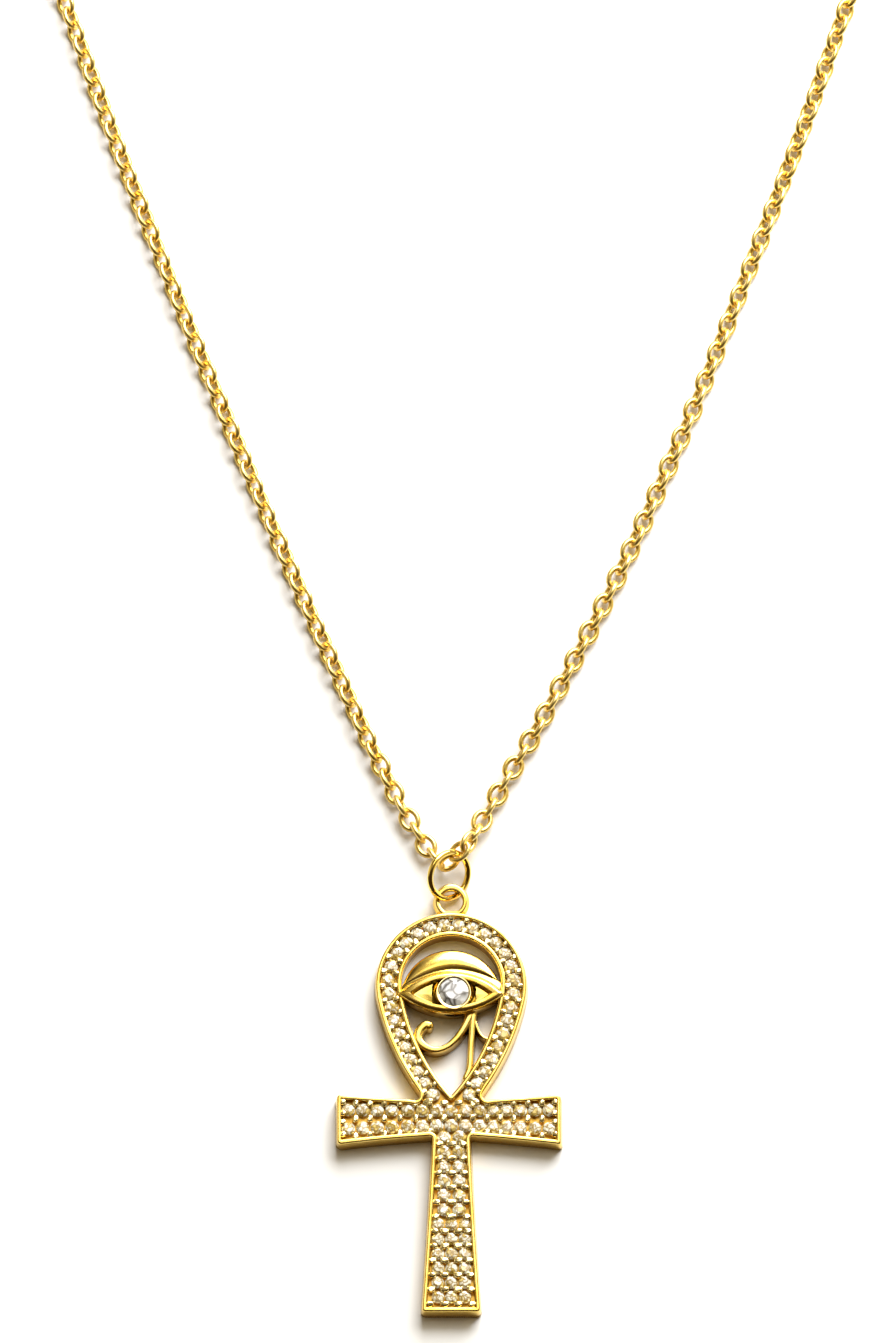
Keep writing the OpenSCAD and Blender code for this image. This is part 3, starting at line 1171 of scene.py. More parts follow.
    def build_bezel(self, finish: bpy.types.Material) -> None:
        """Builds the round wall that holds the stone, its skirt, and the cup under the stone.

        Args:
            finish: The bezel's material.
        """
        outer, inner, top = self.bezel_r, self.stone_r, self.bezel_top
        foot = self.floor - 0.1
        shell = Shell()
        shell.lathe((self.stone_x, self.stone_y), [
            (self.pit_r, self.pit + 0.02), (self.pit_r + 0.02, foot), (outer + self.skirt, foot),
            (outer + self.skirt, foot + 0.14), (outer + 0.62 * self.skirt, foot + 0.26),
            (outer + 0.25 * self.skirt, foot + 0.5), (outer + 0.03, foot + 0.75), (outer, top - 0.12),
            (outer - 0.01, top - 0.04), (outer - 0.04, top), (inner - 0.02, top),
            (inner - 0.05, top - 0.02), (inner + 0.01, top - 0.12), (0.12, self.pit + 0.06)],
            steps=72)
        settle(shell.piece("eye_bezel"), finish, Slot.CAST_GOLD)


@dataclass
class Brow:
    """The puffed brow, with the crease and the upper lid's slope below it.

    Attributes:
        eye: The eye below the brow.
        centre_y: Height of the brow's outer arc's centre up the pendant.
        radius: Radius of that arc.
        reach: How far the arc runs to each side, in degrees from the top.
        fold_peak: The crease's highest point.
        fold_left: The crease's slope and bow to the left of it.
        fold_right: The same to the right.
        fold_ends: How far the crease runs across.
        fold_round: Distance over which its peak is rounded.
        under: Height of the brow's underside off the surface.
        lip_inset: How far the slope's foot lies inside the upper lid's edge.
        tuck: How far and how high the piece runs on under the lid.
        dip: How much the crease sinks towards the right.
        puff: Share of the way from the outer edge to the crease, with the heights there at the brow's
            ends and at its middle.
        slope: The same from the crease to the lid.
        rows: Number of sections along the brow.
    """

    eye: Eye
    centre_y: float = 11.65
    radius: float = 4.75
    reach: float = 76
    fold_peak: Point = (0.17, 14.42)
    fold_left: Point = (0.115, 0.052)
    fold_right: Point = (0.045, 0.052)
    fold_ends: Point = (-4.72, 4.8)
    fold_round: float = 0.7
    under: float = 0.2
    lip_inset: float = 0.2
    tuck: Point = (0.25, 2.0)
    dip: float = 0.08
    puff: tuple[Place, ...] = (
        (0, 1.2, 1.42), (0.03, 1.4, 1.7), (0.1, 1.52, 1.86), (0.22, 1.6, 1.97), (0.4, 1.68, 2.08),
        (0.58, 1.74, 2.15), (0.72, 1.77, 2.17), (0.84, 1.78, 2.15), (0.93, 1.78, 2.11), (1, 1.77, 2.07))
    slope: tuple[Place, ...] = ((0.1, 1.77, 2.06), (0.3, 1.8, 2.1), (0.65, 1.92, 2.27), (1, 2.04, 2.42))
    rows: int = 73

    def fold(self, share: float) -> Vector:
        """Finds a point of the crease.

        Args:
            share: Share of the way from left to right.

        Returns:
            The point, seen from above.
        """
        x = mix(*self.fold_ends, share)
        slope, bow = self.fold_left if x < self.fold_peak[0] else self.fold_right
        away = abs(x - self.fold_peak[0])
        fall = math.hypot(away, self.fold_round) - self.fold_round
        return Vector((x, self.fold_peak[1] - slope * fall - bow * away**2))

    def lip(self, share: float) -> Vector:
        """Finds a point of the upper lid's edge.

        Args:
            share: Share of the way from left to right.

        Returns:
            The point, seen from above.
        """
        inset = self.lip_inset
        edge = self.eye.almond(
            self.eye.half_w - 2 * inset, self.eye.rise - inset, self.eye.fall - inset)
        upper = edge[:self.eye.arc_points - 2]
        spot = (1 - share) * (len(upper) - 1)
        i = min(int(spot), len(upper) - 2)
        return Vector(upper[i]).lerp(Vector(upper[i + 1]), spot - i)

    def section(self, share: float) -> list[tuple[Vector, float]]:
        """Finds the brow's section, from its outer edge down to the lid.

        Args:
            share: Share of the way from left to right at which the brow is cut.

        Returns:
            The place and the height of each point.
        """
        swell = math.sin(math.pi * share) ** 0.5
        angle = mix(90 + self.reach, 90 - self.reach, share)
        out = Vector(on_circle((0, self.centre_y), self.radius, angle))
        fold, lip = self.fold(share), self.lip(share)
        dip = self.dip * max(share - 0.4, 0)
        tuck = lip + Vector((0, -self.tuck[0]))
        return [
            (out.lerp(fold, 0.12), self.under), (out.lerp(fold, 0.02), self.under + 0.1),
            *[(out.lerp(fold, t), mix(low, high, swell) - dip * max(t - 0.8, 0) * 5)
              for t, low, high in self.puff],
            *[(fold.lerp(lip, t), mix(low, high, swell) - dip * (1 - t)) for t, low, high in self.slope],
            (tuck, self.tuck[1]), (tuck, self.under)]

    def build(self, finish: bpy.types.Material) -> None:
        """Builds the brow.

        Args:
            finish: The brow's material.
        """
        shell = Shell()
        shell.tube([
            shell.add((p.x, p.y, z) for p, z in self.section(share))
            for share in spread(0, 1, self.rows)])
        settle(shell.piece("brow", crease=50), finish, Slot.CAST_GOLD)


@dataclass
class EyeMarks:
    """The curl, the tear line and the side arc below the eye, as upright bars with rounded tops.

    Each point of a bar holds its place and half of its width there.

    Attributes:
        low: Height of the bars' underside off the surface.
        high: Height of their tops.
        flare: How far each side stands out at the bottom.
        curl: The curl's points, from the eye.
        tear: The tear line's points.
        arc: The side arc's points.
        end_turns: Angles of the steps round a bar's free end, in degrees.
    """

    low: float = 0.15
    high: float = 1.5
    flare: float = 0.12
    curl: tuple[Place, ...] = (
        (1.95, 10.5, 0.4), (1.55, 9.6, 0.37), (0.94, 8.48, 0.33), (0.3, 7.66, 0.3), (-0.5, 7.02, 0.28),
        (-1.45, 6.74, 0.3), (-2.4, 7.04, 0.36), (-3.06, 7.72, 0.44), (-3.06, 8.42, 0.43),
        (-2.7, 9.0, 0.4), (-2.3, 9.2, 0.39), (-2.05, 9.12, 0.39))
    tear: tuple[Place, ...] = (
        (2.1, 10.4, 0.32), (1.98, 8.9, 0.3), (1.84, 6.9, 0.28), (1.7, 4.9, 0.29), (1.36, 4.0, 0.29))
    arc: tuple[Place, ...] = (
        (2.25, 9.5, 0.13), (2.49, 8.77, 0.12), (2.78, 8.2, 0.11), (3.19, 7.85, 0.11), (3.75, 7.8, 0.13))
    end_turns: tuple[float, ...] = (18, 36, 54, 70, 82)

    def sweep(self, shell: Shell, line: Sequence[Place]) -> None:
        """Adds a bar with a round end.

        Args:
            shell: Where the bar goes.
            line: The bar's points, each with half the bar's width.
        """
        spots = smooth_path(line, 8)
        path = [Vector((p[0], p[1])) for p in spots]
        halves = [p[2] for p in spots]
        highs = [self.high] * len(path)
        along = (path[-1] - path[-2]).normalized()
        last, half = path[-1], halves[-1]
        for degrees in self.end_turns:
            turn = math.radians(degrees)
            path.append(last + along * (half * math.sin(turn)))
            halves.append(half * math.cos(turn))
            highs.append(self.high - 0.7 * half * (1 - math.cos(turn)))
        shell.bar(path, halves, self.low, highs, self.flare)

    def build(self, finish: bpy.types.Material) -> None:
        """Builds the three bars.

        Args:
            finish: Their material.
        """
        for name, line in (("eye_curl", self.curl), ("tear_line", self.tear), ("side_arc", self.arc)):
            shell = Shell()
            self.sweep(shell, line)
            settle(shell.piece(name, crease=60), finish, Slot.CAST_GOLD)


@dataclass(frozen=True)
class Brilliant:
    """A round brilliant of radius 1: table, stars, kites, girdle and pavilion.

    Attributes:
        table: Radius of the table.
        crown: Height of the table over the girdle.
        girdle: Thickness of the girdle.
        pavilion: Depth of the pavilion below the girdle.
    """

    table: float = 0.56
    crown: float = 0.3
    girdle: float = 0.05
    pavilion: float = 0.82

    def shape(self, shell: Shell, centre: Place, radius: float, turn: float) -> None:
        """Adds the stone to a shell.

        Args:
            shell: Where the faces go.
            centre: The middle of the top of the girdle.
            radius: The stone's radius.
            turn: Its turn about its own axis, in degrees.
        """
        def row(count: int, reach: float, rise: float, offset: float) -> list[int]:
            """Adds a circle of points."""
            return shell.add(
                (*on_circle(centre[:2], radius * reach, turn + offset + 360 * k / count),
                 centre[2] + radius * rise) for k in range(count))

        table = row(8, self.table, self.crown, 0)
        star = row(8, mix(self.table, 1, 0.5), 0.56 * self.crown, 22.5)
        top = row(16, 1, 0, 0)
        low = row(16, 1, -self.girdle, 0)
        mains = row(8, 0.25, -self.girdle - 0.75 * self.pavilion, 22.5)
        depth = radius * (self.girdle + self.pavilion)
        culet = shell.add([(centre[0], centre[1], centre[2] - depth)])[0]
        shell.cap(table)
        for i in range(8):
            j = (i + 1) % 8
            near, mid, far = 2 * i, 2 * i + 1, (2 * i + 2) % 16
            shell.faces += [
                (table[i], star[i], table[j]), (table[j], star[i], top[far], star[j]),
                (star[i], top[near], top[mid]), (star[i], top[mid], top[far]),
                (low[near], mains[i - 1], mains[i]), (low[near], low[mid], mains[i]),
                (low[mid], low[far], mains[i]), (mains[i - 1], mains[i], culet)]
        shell.join(top, low)


@dataclass(frozen=True)
class Spot:
    """A place for one copy, its heading in degrees and its scale."""

    place: Place
    heading: float = 0.0
    scale: Place = (1.0, 1.0, 1.0)


def run_nodes(made: bpy.types.Object, tree: bpy.types.NodeTree,
              values: dict[str, object]) -> bpy.types.Mesh:
    """Runs a Geometry Nodes tree on an object.

    Args:
        made: The object, which is left as it was.
        tree: The node tree.
        values: A value for each named input.

    Returns:
        The result, as a plain mesh with the object's name.
    """
    modifier = made.modifiers.new(tree.name, "NODES")
    modifier.node_group = tree
    for item in tree.interface.items_tree:
        if item.in_out == "INPUT" and item.name in values:
            modifier[item.identifier] = values[item.name]
    made.update_tag()
    depsgraph = bpy.context.evaluated_depsgraph_get()
    mesh = bpy.data.meshes.new_from_object(made.evaluated_get(depsgraph))
    made.modifiers.remove(modifier)
    mesh.name = made.name
    return mesh


class StoneSetter:
    """Sets copies of a small shape on points with Geometry Nodes."""

    def __init__(self, seed: int) -> None:
        """Builds the node tree, and takes the seed of its small random turns."""
        self.seed = seed
        self.tree = self.plan()

    def plan(self) -> bpy.types.NodeTree:
        """Builds the node tree that instances, turns and realizes the shape.

        Returns:
            The tree.
        """
        kit = Wiring(bpy.data.node_groups.new("set_on_points", "GeometryNodeTree"))
        kit.socket("Geometry", "Geometry")
        kit.socket("Shape", "Object")
        kit.sockets("Float", {"Size": 1.0, "Tilt": 0.05, "Turn": 0.4})
        kit.socket("Seed", "Int", 0)
        kit.socket("Finish", "Material")
        kit.socket("Geometry", "Geometry", output=True)
        given = kit.add("NodeGroupInput").outputs
        shape = kit.add("GeometryNodeObjectInfo", {"Object": given["Shape"]})
        heading = kit.add("GeometryNodeInputNamedAttribute", {"Name": "heading"}, data_type="FLOAT")
        scale = kit.add("GeometryNodeInputNamedAttribute", {"Name": "scale"}, data_type="FLOAT_VECTOR")
        limit = kit.add("ShaderNodeCombineXYZ", {
            0: given["Tilt"], 1: given["Tilt"], 2: given["Turn"]}).outputs[0]
        chance = kit.add("FunctionNodeRandomValue", {
            0: kit.scaled(limit, -1.0), 1: limit, 8: given["Seed"]}, data_type="FLOAT_VECTOR")
        aim = kit.add("ShaderNodeCombineXYZ", {2: heading.outputs[0]})
        copies = kit.add("GeometryNodeInstanceOnPoints", {
            "Points": given["Geometry"], "Instance": shape.outputs["Geometry"],
            "Rotation": kit.vector("ADD", chance.outputs[0], aim.outputs[0]),
            "Scale": kit.scaled(scale.outputs[0], given["Size"])})
        kit.deliver(copies.outputs[0], given["Finish"])
        return kit.tree

    def set(self, name: str, spots: Sequence[Spot], shape: bpy.types.Object, size: float,
            tilt: float, turn: float, finish: bpy.types.Material, crease: float) -> bpy.types.Object:
        """Sets the shape on each spot and returns the result as one plain mesh.

        Args:
            name: The new piece's name.
            spots: Where the copies go.
            shape: The shape, which is removed afterwards.
            size: Its size, in metres for each unit of the shape.
            tilt: Most that a copy leans, in radians.
            turn: Most that a copy is turned about its axis, in radians.
            finish: Its material.
            crease: Edges that turn by more degrees than this stay sharp.

        Returns:
            The piece.
        """
        points = bpy.data.meshes.new(name)
        points.from_pydata([[v * MM for v in s.place] for s in spots], [], [])
        heading = points.attributes.new("heading", "FLOAT", "POINT")
        heading.data.foreach_set("value", [math.radians(s.heading) for s in spots])
        scale = points.attributes.new("scale", "FLOAT_VECTOR", "POINT")
        scale.data.foreach_set("vector", [v for s in spots for v in s.scale])
        made = in_scene(name, points)
        mesh = run_nodes(made, self.tree, {
            "Shape": shape, "Size": size, "Tilt": tilt, "Turn": turn, "Seed": self.seed,
            "Finish": finish})
        for attribute in ("heading", "scale"):
            if attribute in mesh.attributes:
                mesh.attributes.remove(mesh.attributes[attribute])
        made.data = mesh
        bpy.data.objects.remove(shape)
        smooth(mesh, crease)
        return made


@dataclass
class Paving:
    """The rows of small stones in the tray, and the beads raised between them.

    Where a value has two parts for the arms, the first holds at the middle and the second at their ends.

    Attributes:
        outline: The ankh's outline.
        stone_r: Radius of a stone.
        girdle_z: Height of the stones' girdles.
        bead_r: Radius of a bead.
        bead_z: Height of a bead's middle.
        bead_shape: Radius and height of each point of a bead's side, as shares of its radius.
        band_middle: From the opening's edge to the middle of the loop's band.
        ahead: A short step along the band, which gives a stone's heading.
        loop_pitch: From one stone to the next round the loop.
        loop_count: Number of stones down each side of the loop.
        wall_side: From the middle of the band to the beads at its walls.
        wall_long: Length of a bead at a wall. All beads' lengths are shares of their widths.
        arm_pitch: From one stone to the next along the arms.
        arm_rows: How far up each row of the arms lies.
        arm_count: Number of stones in a row from the middle to an arm's end.
        arm_beads: How far up the beads between, above and below the rows lie.
        arm_longs: Lengths of those beads.
        crown_bead: How far up the beads below the opening's tip lie.
        crown_long: Their length.
        crotch_bead: Place of the bead between an arm and the loop.
        crotch_long: Its length.
        crotch_lean: Its heading, in degrees.
        end_beads: How far up each bead at an arm's end lies.
        end_long: Their length.
        end_gap: How far those beads lie inside the last stone's edge.
        stem_first: How far up the stem's first row lies.
        stem_pitch: From one row to the next.
        stem_columns: How far across each stone of each row lies.
        stem_wall: From the stem's edge to the beads at its walls.
        pair_long: Length of the bead below a row of two.
        triple_long: Length of the beads below a row of three.
        snug: Size of the stones in a row of three.
        spots: The stones set so far.
        beads: The beads set so far.
    """

    outline: AnkhOutline
    stone_r: float = 0.63
    girdle_z: float = 1.47
    bead_r: float = 0.27
    bead_z: float = 1.59
    bead_shape: tuple[Point, ...] = (
        (1.1, -0.9), (1.04, 0.2), (0.98, 0.4), (0.88, 0.52), (0.6, 0.58), (0.2, 0.6))
    band_middle: float = 1.2
    ahead: float = 0.05
    loop_pitch: float = 1.35
    loop_count: int = 16
    wall_side: float = 0.62
    wall_long: float = 1.35
    arm_pitch: float = 1.345
    arm_rows: tuple[Point, ...] = ((0.78, 0.86), (-0.66, -0.96))
    arm_count: int = 7
    arm_beads: tuple[Point, ...] = ((0.06, -0.05), (1.38, 1.52), (-1.24, -1.78))
    arm_longs: Place = (1.3, 1.2, 1.3)
    crown_bead: float = 1.5
    crown_long: float = 1.5
    crotch_bead: Point = (2.18, 1.66)
    crotch_long: float = 1.9
    crotch_lean: float = -5
    end_beads: tuple[float, ...] = (1.6, 0.5, -0.35, -1.55)
    end_long: float = 1.2
    end_gap: float = 0.12
    stem_first: float = -1.78
    stem_pitch: float = 1.412
    stem_columns: tuple[tuple[float, ...], ...] = (((-0.68, 0.75),) * 6 + ((-1.24, 0.02, 1.28),) * 6)
    stem_wall: float = 0.7
    pair_long: float = 1.8
    triple_long: float = 1.5
    snug: float = 0.95
    spots: list[Spot] = field(default_factory=list)
    beads: list[Spot] = field(default_factory=list)

    def bead(self, x: float, y: float, heading: float = 0.0, long: float = 1.0) -> None:
        """Adds a bead, drawn out along its heading by the factor long."""
        place = self.outline.shifted(x, y)
        self.beads.append(Spot((*place, self.bead_z), heading, (long, 1.0, 1.0)))

    def middle_line(self) -> list[Vector]:
        """Returns the middle of the loop's band, from its top down the right side to the arms."""
        line = [Vector(p) for p in self.outline.opening(self.band_middle) if p[0] >= 0]
        return list(reversed(line[:line.index(max(line, key=lambda q: q.y)) + 1]))

    def pave_loop(self) -> None:
        """Sets the single row round the loop, with a bead at each wall between two stones."""
        line = self.middle_line()
        for side in Side:
            steps = [self.loop_pitch * (i + 0.5) for i in range(self.loop_count)]
            for p, q in zip(walk(line, steps), walk(line, [s + self.ahead for s in steps])):
                heading = math.degrees(math.atan2(q.y - p.y, side.value * (q.x - p.x)))
                self.spots.append(Spot((side.value * p.x, p.y, self.girdle_z), heading))
            # Both sides share the gap at the top, so its beads are set once.
            gaps = [s - self.loop_pitch / 2 for s in steps[1 if side is Side.LEFT else 0:]]
            for p, q in zip(walk(line, gaps), walk(line, [g + self.ahead for g in gaps])):
                along = (q - p).normalized()
                for offset in (-self.wall_side, self.wall_side):
                    spot = p + offset * Vector((-along.y, along.x))
                    heading = math.degrees(math.atan2(along.x, -side.value * along.y))
                    self.bead(side.value * spot.x, spot.y, heading, self.wall_long)

    def pave_arms(self) -> None:
        """Sets the two rows along the arms, with beads above, between and below them."""
        reach = self.arm_pitch * self.arm_count
        for i in range(-self.arm_count, self.arm_count + 1):
            x = i * self.arm_pitch
            share = abs(x / reach) ** self.outline.arm_bow
            for ends in self.arm_rows:
                place = self.outline.shifted(x, mix(*ends, share))
                self.spots.append(Spot((*place, self.girdle_z)))
        for i in range(-self.arm_count, self.arm_count):
            x = (i + 0.5) * self.arm_pitch
            share = abs(x / reach) ** self.outline.arm_bow
            row = list(zip([mix(*ends, share) for ends in self.arm_beads], self.arm_longs))
            beyond_stem = abs(x) > self.outline.stem_top_w / 2 + self.outline.arm_crotch_r
            for y, long in row if beyond_stem else row[:1]:
                self.bead(x, y, 90, long)
            if abs(x) < self.arm_pitch:
                self.bead(x, self.crown_bead, 0, self.crown_long)
        last_x = reach + self.arm_pitch / 2 - self.end_gap
        for side in Side:
            x, y = self.crotch_bead
            self.bead(side.value * x, y, self.crotch_lean * side.value, self.crotch_long)
            for y in self.end_beads:
                self.bead(side.value * last_x, y, 0, self.end_long)

    def pave_stem(self) -> None:
        """Sets the rows down the stem, with bars of metal between them and beads at both walls."""
        for i, columns in enumerate(self.stem_columns):
            pair = len(columns) == 2
            y = self.stem_first - i * self.stem_pitch
            below = y - self.stem_pitch / 2
            snug = 1.0 if pair else self.snug
            self.spots += [Spot((x, y, self.girdle_z), 0, (snug, snug, 1)) for x in columns]
            for left, right in zip(columns, columns[1:]):
                self.bead((left + right) / 2, below, 0, self.pair_long if pair else self.triple_long)
            wall = self.outline.stem_half(below) - self.stem_wall
            for side in Side:
                self.bead(side.value * wall, below, 0, self.wall_long)

    def build(self, stone: bpy.types.Material, metal: bpy.types.Material) -> None:
        """Sets all stones and beads.

        Args:
            stone: The stones' material.
            metal: The beads' material.
        """
        self.pave_loop()
        self.pave_arms()
        self.pave_stem()
        cut = Shell()
        Brilliant().shape(cut, (0, 0, 0), 1 / MM, 0)
        stones = StoneSetter(seed=4).set(
            "pave_stones_set", self.spots, cut.piece("small_cut"), size=self.stone_r * MM, tilt=0.09,
            turn=0.5, finish=stone, crease=5)
        settle(stones, None, Slot.PAVE_STONE, "pave_stones")
        ball = Shell()
        ball.lathe((0, 0), [(r / MM, z / MM) for r, z in self.bead_shape], steps=10)
        beads = StoneSetter(seed=9).set(
            "pave_beads", self.beads, ball.piece("bead"), size=self.bead_r * MM, tilt=0.12, turn=0.2,
            finish=metal, crease=80)
        settle(beads, None, Slot.CAST_GOLD)
        LOG.info("%d stones and %d beads", len(self.spots), len(self.beads))


@dataclass
class JumpRing:
    """The round wire ring through the bail, closed at a butt seam.

    Attributes:
        roll: The ring's lean about the Y axis, in degrees.
        pitch: Its lean about the X axis, in degrees.
        wire: Thickness of the wire.
        stretch: How much wider across than round the ring is.
        shift: How far it lies to one side.
        seam_at: Where the seam is, in degrees round the ring.
        seam_gap: Width of the seam's gap, in degrees.
        seam_edge: Width of the rounded edges at the seam, in degrees.
        seam_round: How much thinner the wire's radius is at its ends.
        rows: Number of sections round the ring, without the seam's edges.
        sides: Number of points round the wire.
    """

    roll: float = 45
    pitch: float = 20
    wire: float = 0.6
    stretch: float = 1.08
    shift: float = -0.1
    seam_at: float = -128
    seam_gap: float = 1.1
    seam_edge: float = 0.35
    seam_round: float = 0.03
    rows: int = 97
    sides: int = 18

    def turn(self) -> Matrix:
        """Returns the ring's lean."""
        return Matrix.Rotation(math.radians(self.roll), 3, "Y") @ Matrix.Rotation(
            math.radians(self.pitch), 3, "X")

    def centre(self) -> Vector:
        """Returns the ring's middle in millimetres, which is the CAD ring's moved by the shift."""
        low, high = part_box("jump_ring")
        return (low + high) / 2 / MM + Vector((self.shift, 0, 0))

    def radius(self) -> float:
        """Finds the radius of the wire's middle line from the CAD ring's height.

        Returns:
            The radius.
        """
        low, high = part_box("jump_ring")
        flat = self.turn() @ Vector((0, 0, 1))
        return ((high.z - low.z) / MM - self.wire) / 2 / math.sqrt(1 - flat.z**2)

    def build(self, finish: bpy.types.Material) -> None:
        """Builds the ring.

        Args:
            finish: The ring's material.
        """
        shell = Shell()
        turn = self.turn()
        centre = self.centre()
        radius = self.radius()
        first = self.seam_at + self.seam_gap / 2
        last = self.seam_at + 360 - self.seam_gap / 2
        edge = self.seam_edge
        angles = [first, *spread(first + edge, last - edge, self.rows), last]
        round_wire = [2 * math.pi * k / self.sides for k in range(self.sides)]
        rows = []
        for i, degrees in enumerate(angles):
            wire_r = self.wire / 2 - (self.seam_round if i in (0, len(angles) - 1) else 0)
            spoke = Vector((*on_circle((0, 0), 1, degrees), 0))
            middle = turn @ (spoke * radius)
            middle.x *= self.stretch
            rows.append(shell.add(
                centre + middle + turn @ (
                    spoke * wire_r * math.cos(a) + Vector((0, 0, wire_r * math.sin(a))))
                for a in round_wire))
        shell.tube(rows)
        settle(shell.piece("jump_ring_wire"), finish, Slot.WIRE_GOLD, "jump_ring")


@dataclass
class Chain:
    """The fine cable chain: oval links along both strands, from inside the jump ring to the clasp.

    Attributes:
        pitch: From one link to the next.
        link_len: Length of a link.
        link_w: Width of a link.
        wire: Thickness of the wire.
        link_sides: Number of points round a link.
        wire_sides: Number of points round the wire.
        loose: Most that a link turns by chance, in radians.
        rest: Height of the lying chain's middle off the surface.
        rest_twist: Twist of the lying chain's links, in degrees.
        into_clasp: How far each strand runs into the clasp.
        left: The left strand's stops near the ring: the way across and up from the jump ring's centre,
            the height off the surface, and the links' twist in degrees.
        left_far: Its further stops, where the chain lies at rest: the way across and up.
        right: The right strand's stops near the ring.
        right_far: Its further stops.
    """

    pitch: float = 1.5
    link_len: float = 2.56
    link_w: float = 2.08
    wire: float = 0.52
    link_sides: int = 16
    wire_sides: int = 6
    loose: float = 0.1
    rest: float = 0.8
    rest_twist: float = 45
    into_clasp: float = 0.6
    left: tuple[Stop, ...] = (
        (-1.25, 2.0, 1.05, 65), (-2.35, 3.45, 0.95, 72), (-3.15, 4.85, 0.94, 70), (-3.95, 6.1, 0.94, 68),
        (-6.1, 10.4, 0.86, 56))
    left_far: tuple[Point, ...] = (
        (-8.3, 15.1), (-14.7, 29.8), (-20.7, 44.4), (-26.5, 59.1), (-32, 73.7), (-37, 88), (-43.5, 106),
        (-48.5, 126), (-48, 148), (-39, 167.5), (-23, 181))
    right: tuple[Stop, ...] = (
        (0.0, 1.45, 1.5, 70), (1.05, 2.3, 2.35, 75), (1.95, 3.35, 2.0, 30), (2.6, 4.75, 1.2, 10),
        (3.3, 5.9, 1.0, 8), (5.7, 10.2, 0.94, 15), (8.5, 15.1, 0.94, 22), (16, 29.8, 0.92, 26),
        (22.4, 44.4, 0.9, 30), (28.1, 59.1, 0.86, 38))
    right_far: tuple[Point, ...] = (
        (33.5, 73.7), (38.4, 88), (44.5, 106), (49.5, 126), (49, 148), (40, 167.5), (24, 181))

    def plan(self) -> bpy.types.NodeTree:
        """Builds the node tree that lays interlocked links along a curve.

        Returns:
            The tree.
        """
        kit = Wiring(bpy.data.node_groups.new("cable_chain", "GeometryNodeTree"))
        kit.socket("Geometry", "Geometry")
        kit.sockets("Float", {
            "Pitch": 0.0015, "Half Length": 0.00095, "Half Width": 0.0007, "Wire Radius": 0.0002,
            "Loose Turn": 0.1})
        kit.socket("Seed", "Int", 0)
        kit.socket("Finish", "Material")
        kit.socket("Geometry", "Geometry", output=True)
        given = kit.add("NodeGroupInput").outputs
        loose = given["Loose Turn"]
        route = kit.add("GeometryNodeResampleCurve", {
            "Curve": given["Geometry"], "Length": given["Pitch"]}, mode="LENGTH")
        circle = kit.add("GeometryNodeCurvePrimitiveCircle", {
            "Resolution": self.link_sides, "Radius": 1.0})
        size = kit.add("ShaderNodeCombineXYZ", {0: given["Half Length"], 1: given["Half Width"], 2: 1.0})
        oval = kit.add("GeometryNodeTransform", {
            "Geometry": circle.outputs["Curve"], "Scale": size.outputs[0]})
        section = kit.add("GeometryNodeCurvePrimitiveCircle", {
            "Resolution": self.wire_sides, "Radius": given["Wire Radius"]})
        link = kit.add("GeometryNodeCurveToMesh", {
            "Curve": oval.outputs[0], "Profile Curve": section.outputs["Curve"]})
        tangent = kit.add("GeometryNodeInputTangent").outputs[0]
        heading = kit.add("FunctionNodeAlignRotationToVector", {"Vector": tangent}, axis="X")
        odd = kit.calc("MODULO", kit.add("GeometryNodeInputIndex").outputs[0], 2.0)
        quarter = kit.calc("MULTIPLY", odd, math.pi / 2)
        twist = kit.add("GeometryNodeInputCurveTilt").outputs[0]
        chance = kit.add("FunctionNodeRandomValue", {
            2: kit.calc("MULTIPLY", loose, -1.0), 3: loose, 8: given["Seed"]}, data_type="FLOAT")
        roll = kit.calc("ADD", kit.calc("ADD", quarter, twist), chance.outputs[1])
        euler = kit.add("ShaderNodeCombineXYZ", {0: roll})
        spin = kit.add("FunctionNodeEulerToRotation", {0: euler.outputs[0]})
        pose = kit.add("FunctionNodeRotateRotation", {
            0: heading.outputs[0], 1: spin.outputs[0]}, rotation_space="LOCAL")
        copies = kit.add("GeometryNodeInstanceOnPoints", {
            "Points": route.outputs[0], "Instance": link.outputs[0], "Rotation": pose.outputs[0]})
        kit.deliver(copies.outputs[0], given["Finish"])
        return kit.tree

    def strand(self, near: Sequence[Stop], far: Sequence[Point], centre: Vector,
               end: Point) -> list[Vector]:
        """Finds the smooth route of a strand.

        Args:
            near: Its stops near the jump ring.
            far: Its further stops, where the chain lies at rest.
            centre: The jump ring's centre.
            end: Where it ends, in the clasp.

        Returns:
            The route, with the twist in degrees as a fourth value.
        """
        stops = [*near, *[(x, y, self.rest, self.rest_twist) for x, y in far]]
        route = [(centre.x + x, centre.y + y, z, twist) for x, y, z, twist in stops]
        return smooth_path([*route, (*end, self.rest, self.rest_twist)], 10)

    def lay(self, name: str, path: Sequence[Vector], tree: bpy.types.NodeTree,
            finish: bpy.types.Material, seed: int) -> bpy.types.Object:
        """Lays links along a route.

        Args:
            name: The new piece's name.
            path: The route, with the twist in degrees as a fourth value.
            tree: The chain's node tree.
            finish: The links' material.
            seed: Seed of the loose turns.

        Returns:
            The strand as one mesh.
        """
        curve = bpy.data.curves.new(name + "_route", "CURVE")
        curve.dimensions = "3D"
        spline = curve.splines.new("POLY")
        spline.points.add(len(path) - 1)
        for spot, p in zip(spline.points, path):
            spot.co = (p[0] * MM, p[1] * MM, p[2] * MM, 1)
            spot.tilt = math.radians(p[3])
        line = in_scene(name + "_route", curve)
        length = path_length([Vector(p[:3]) for p in path])
        count = round(length / self.pitch)
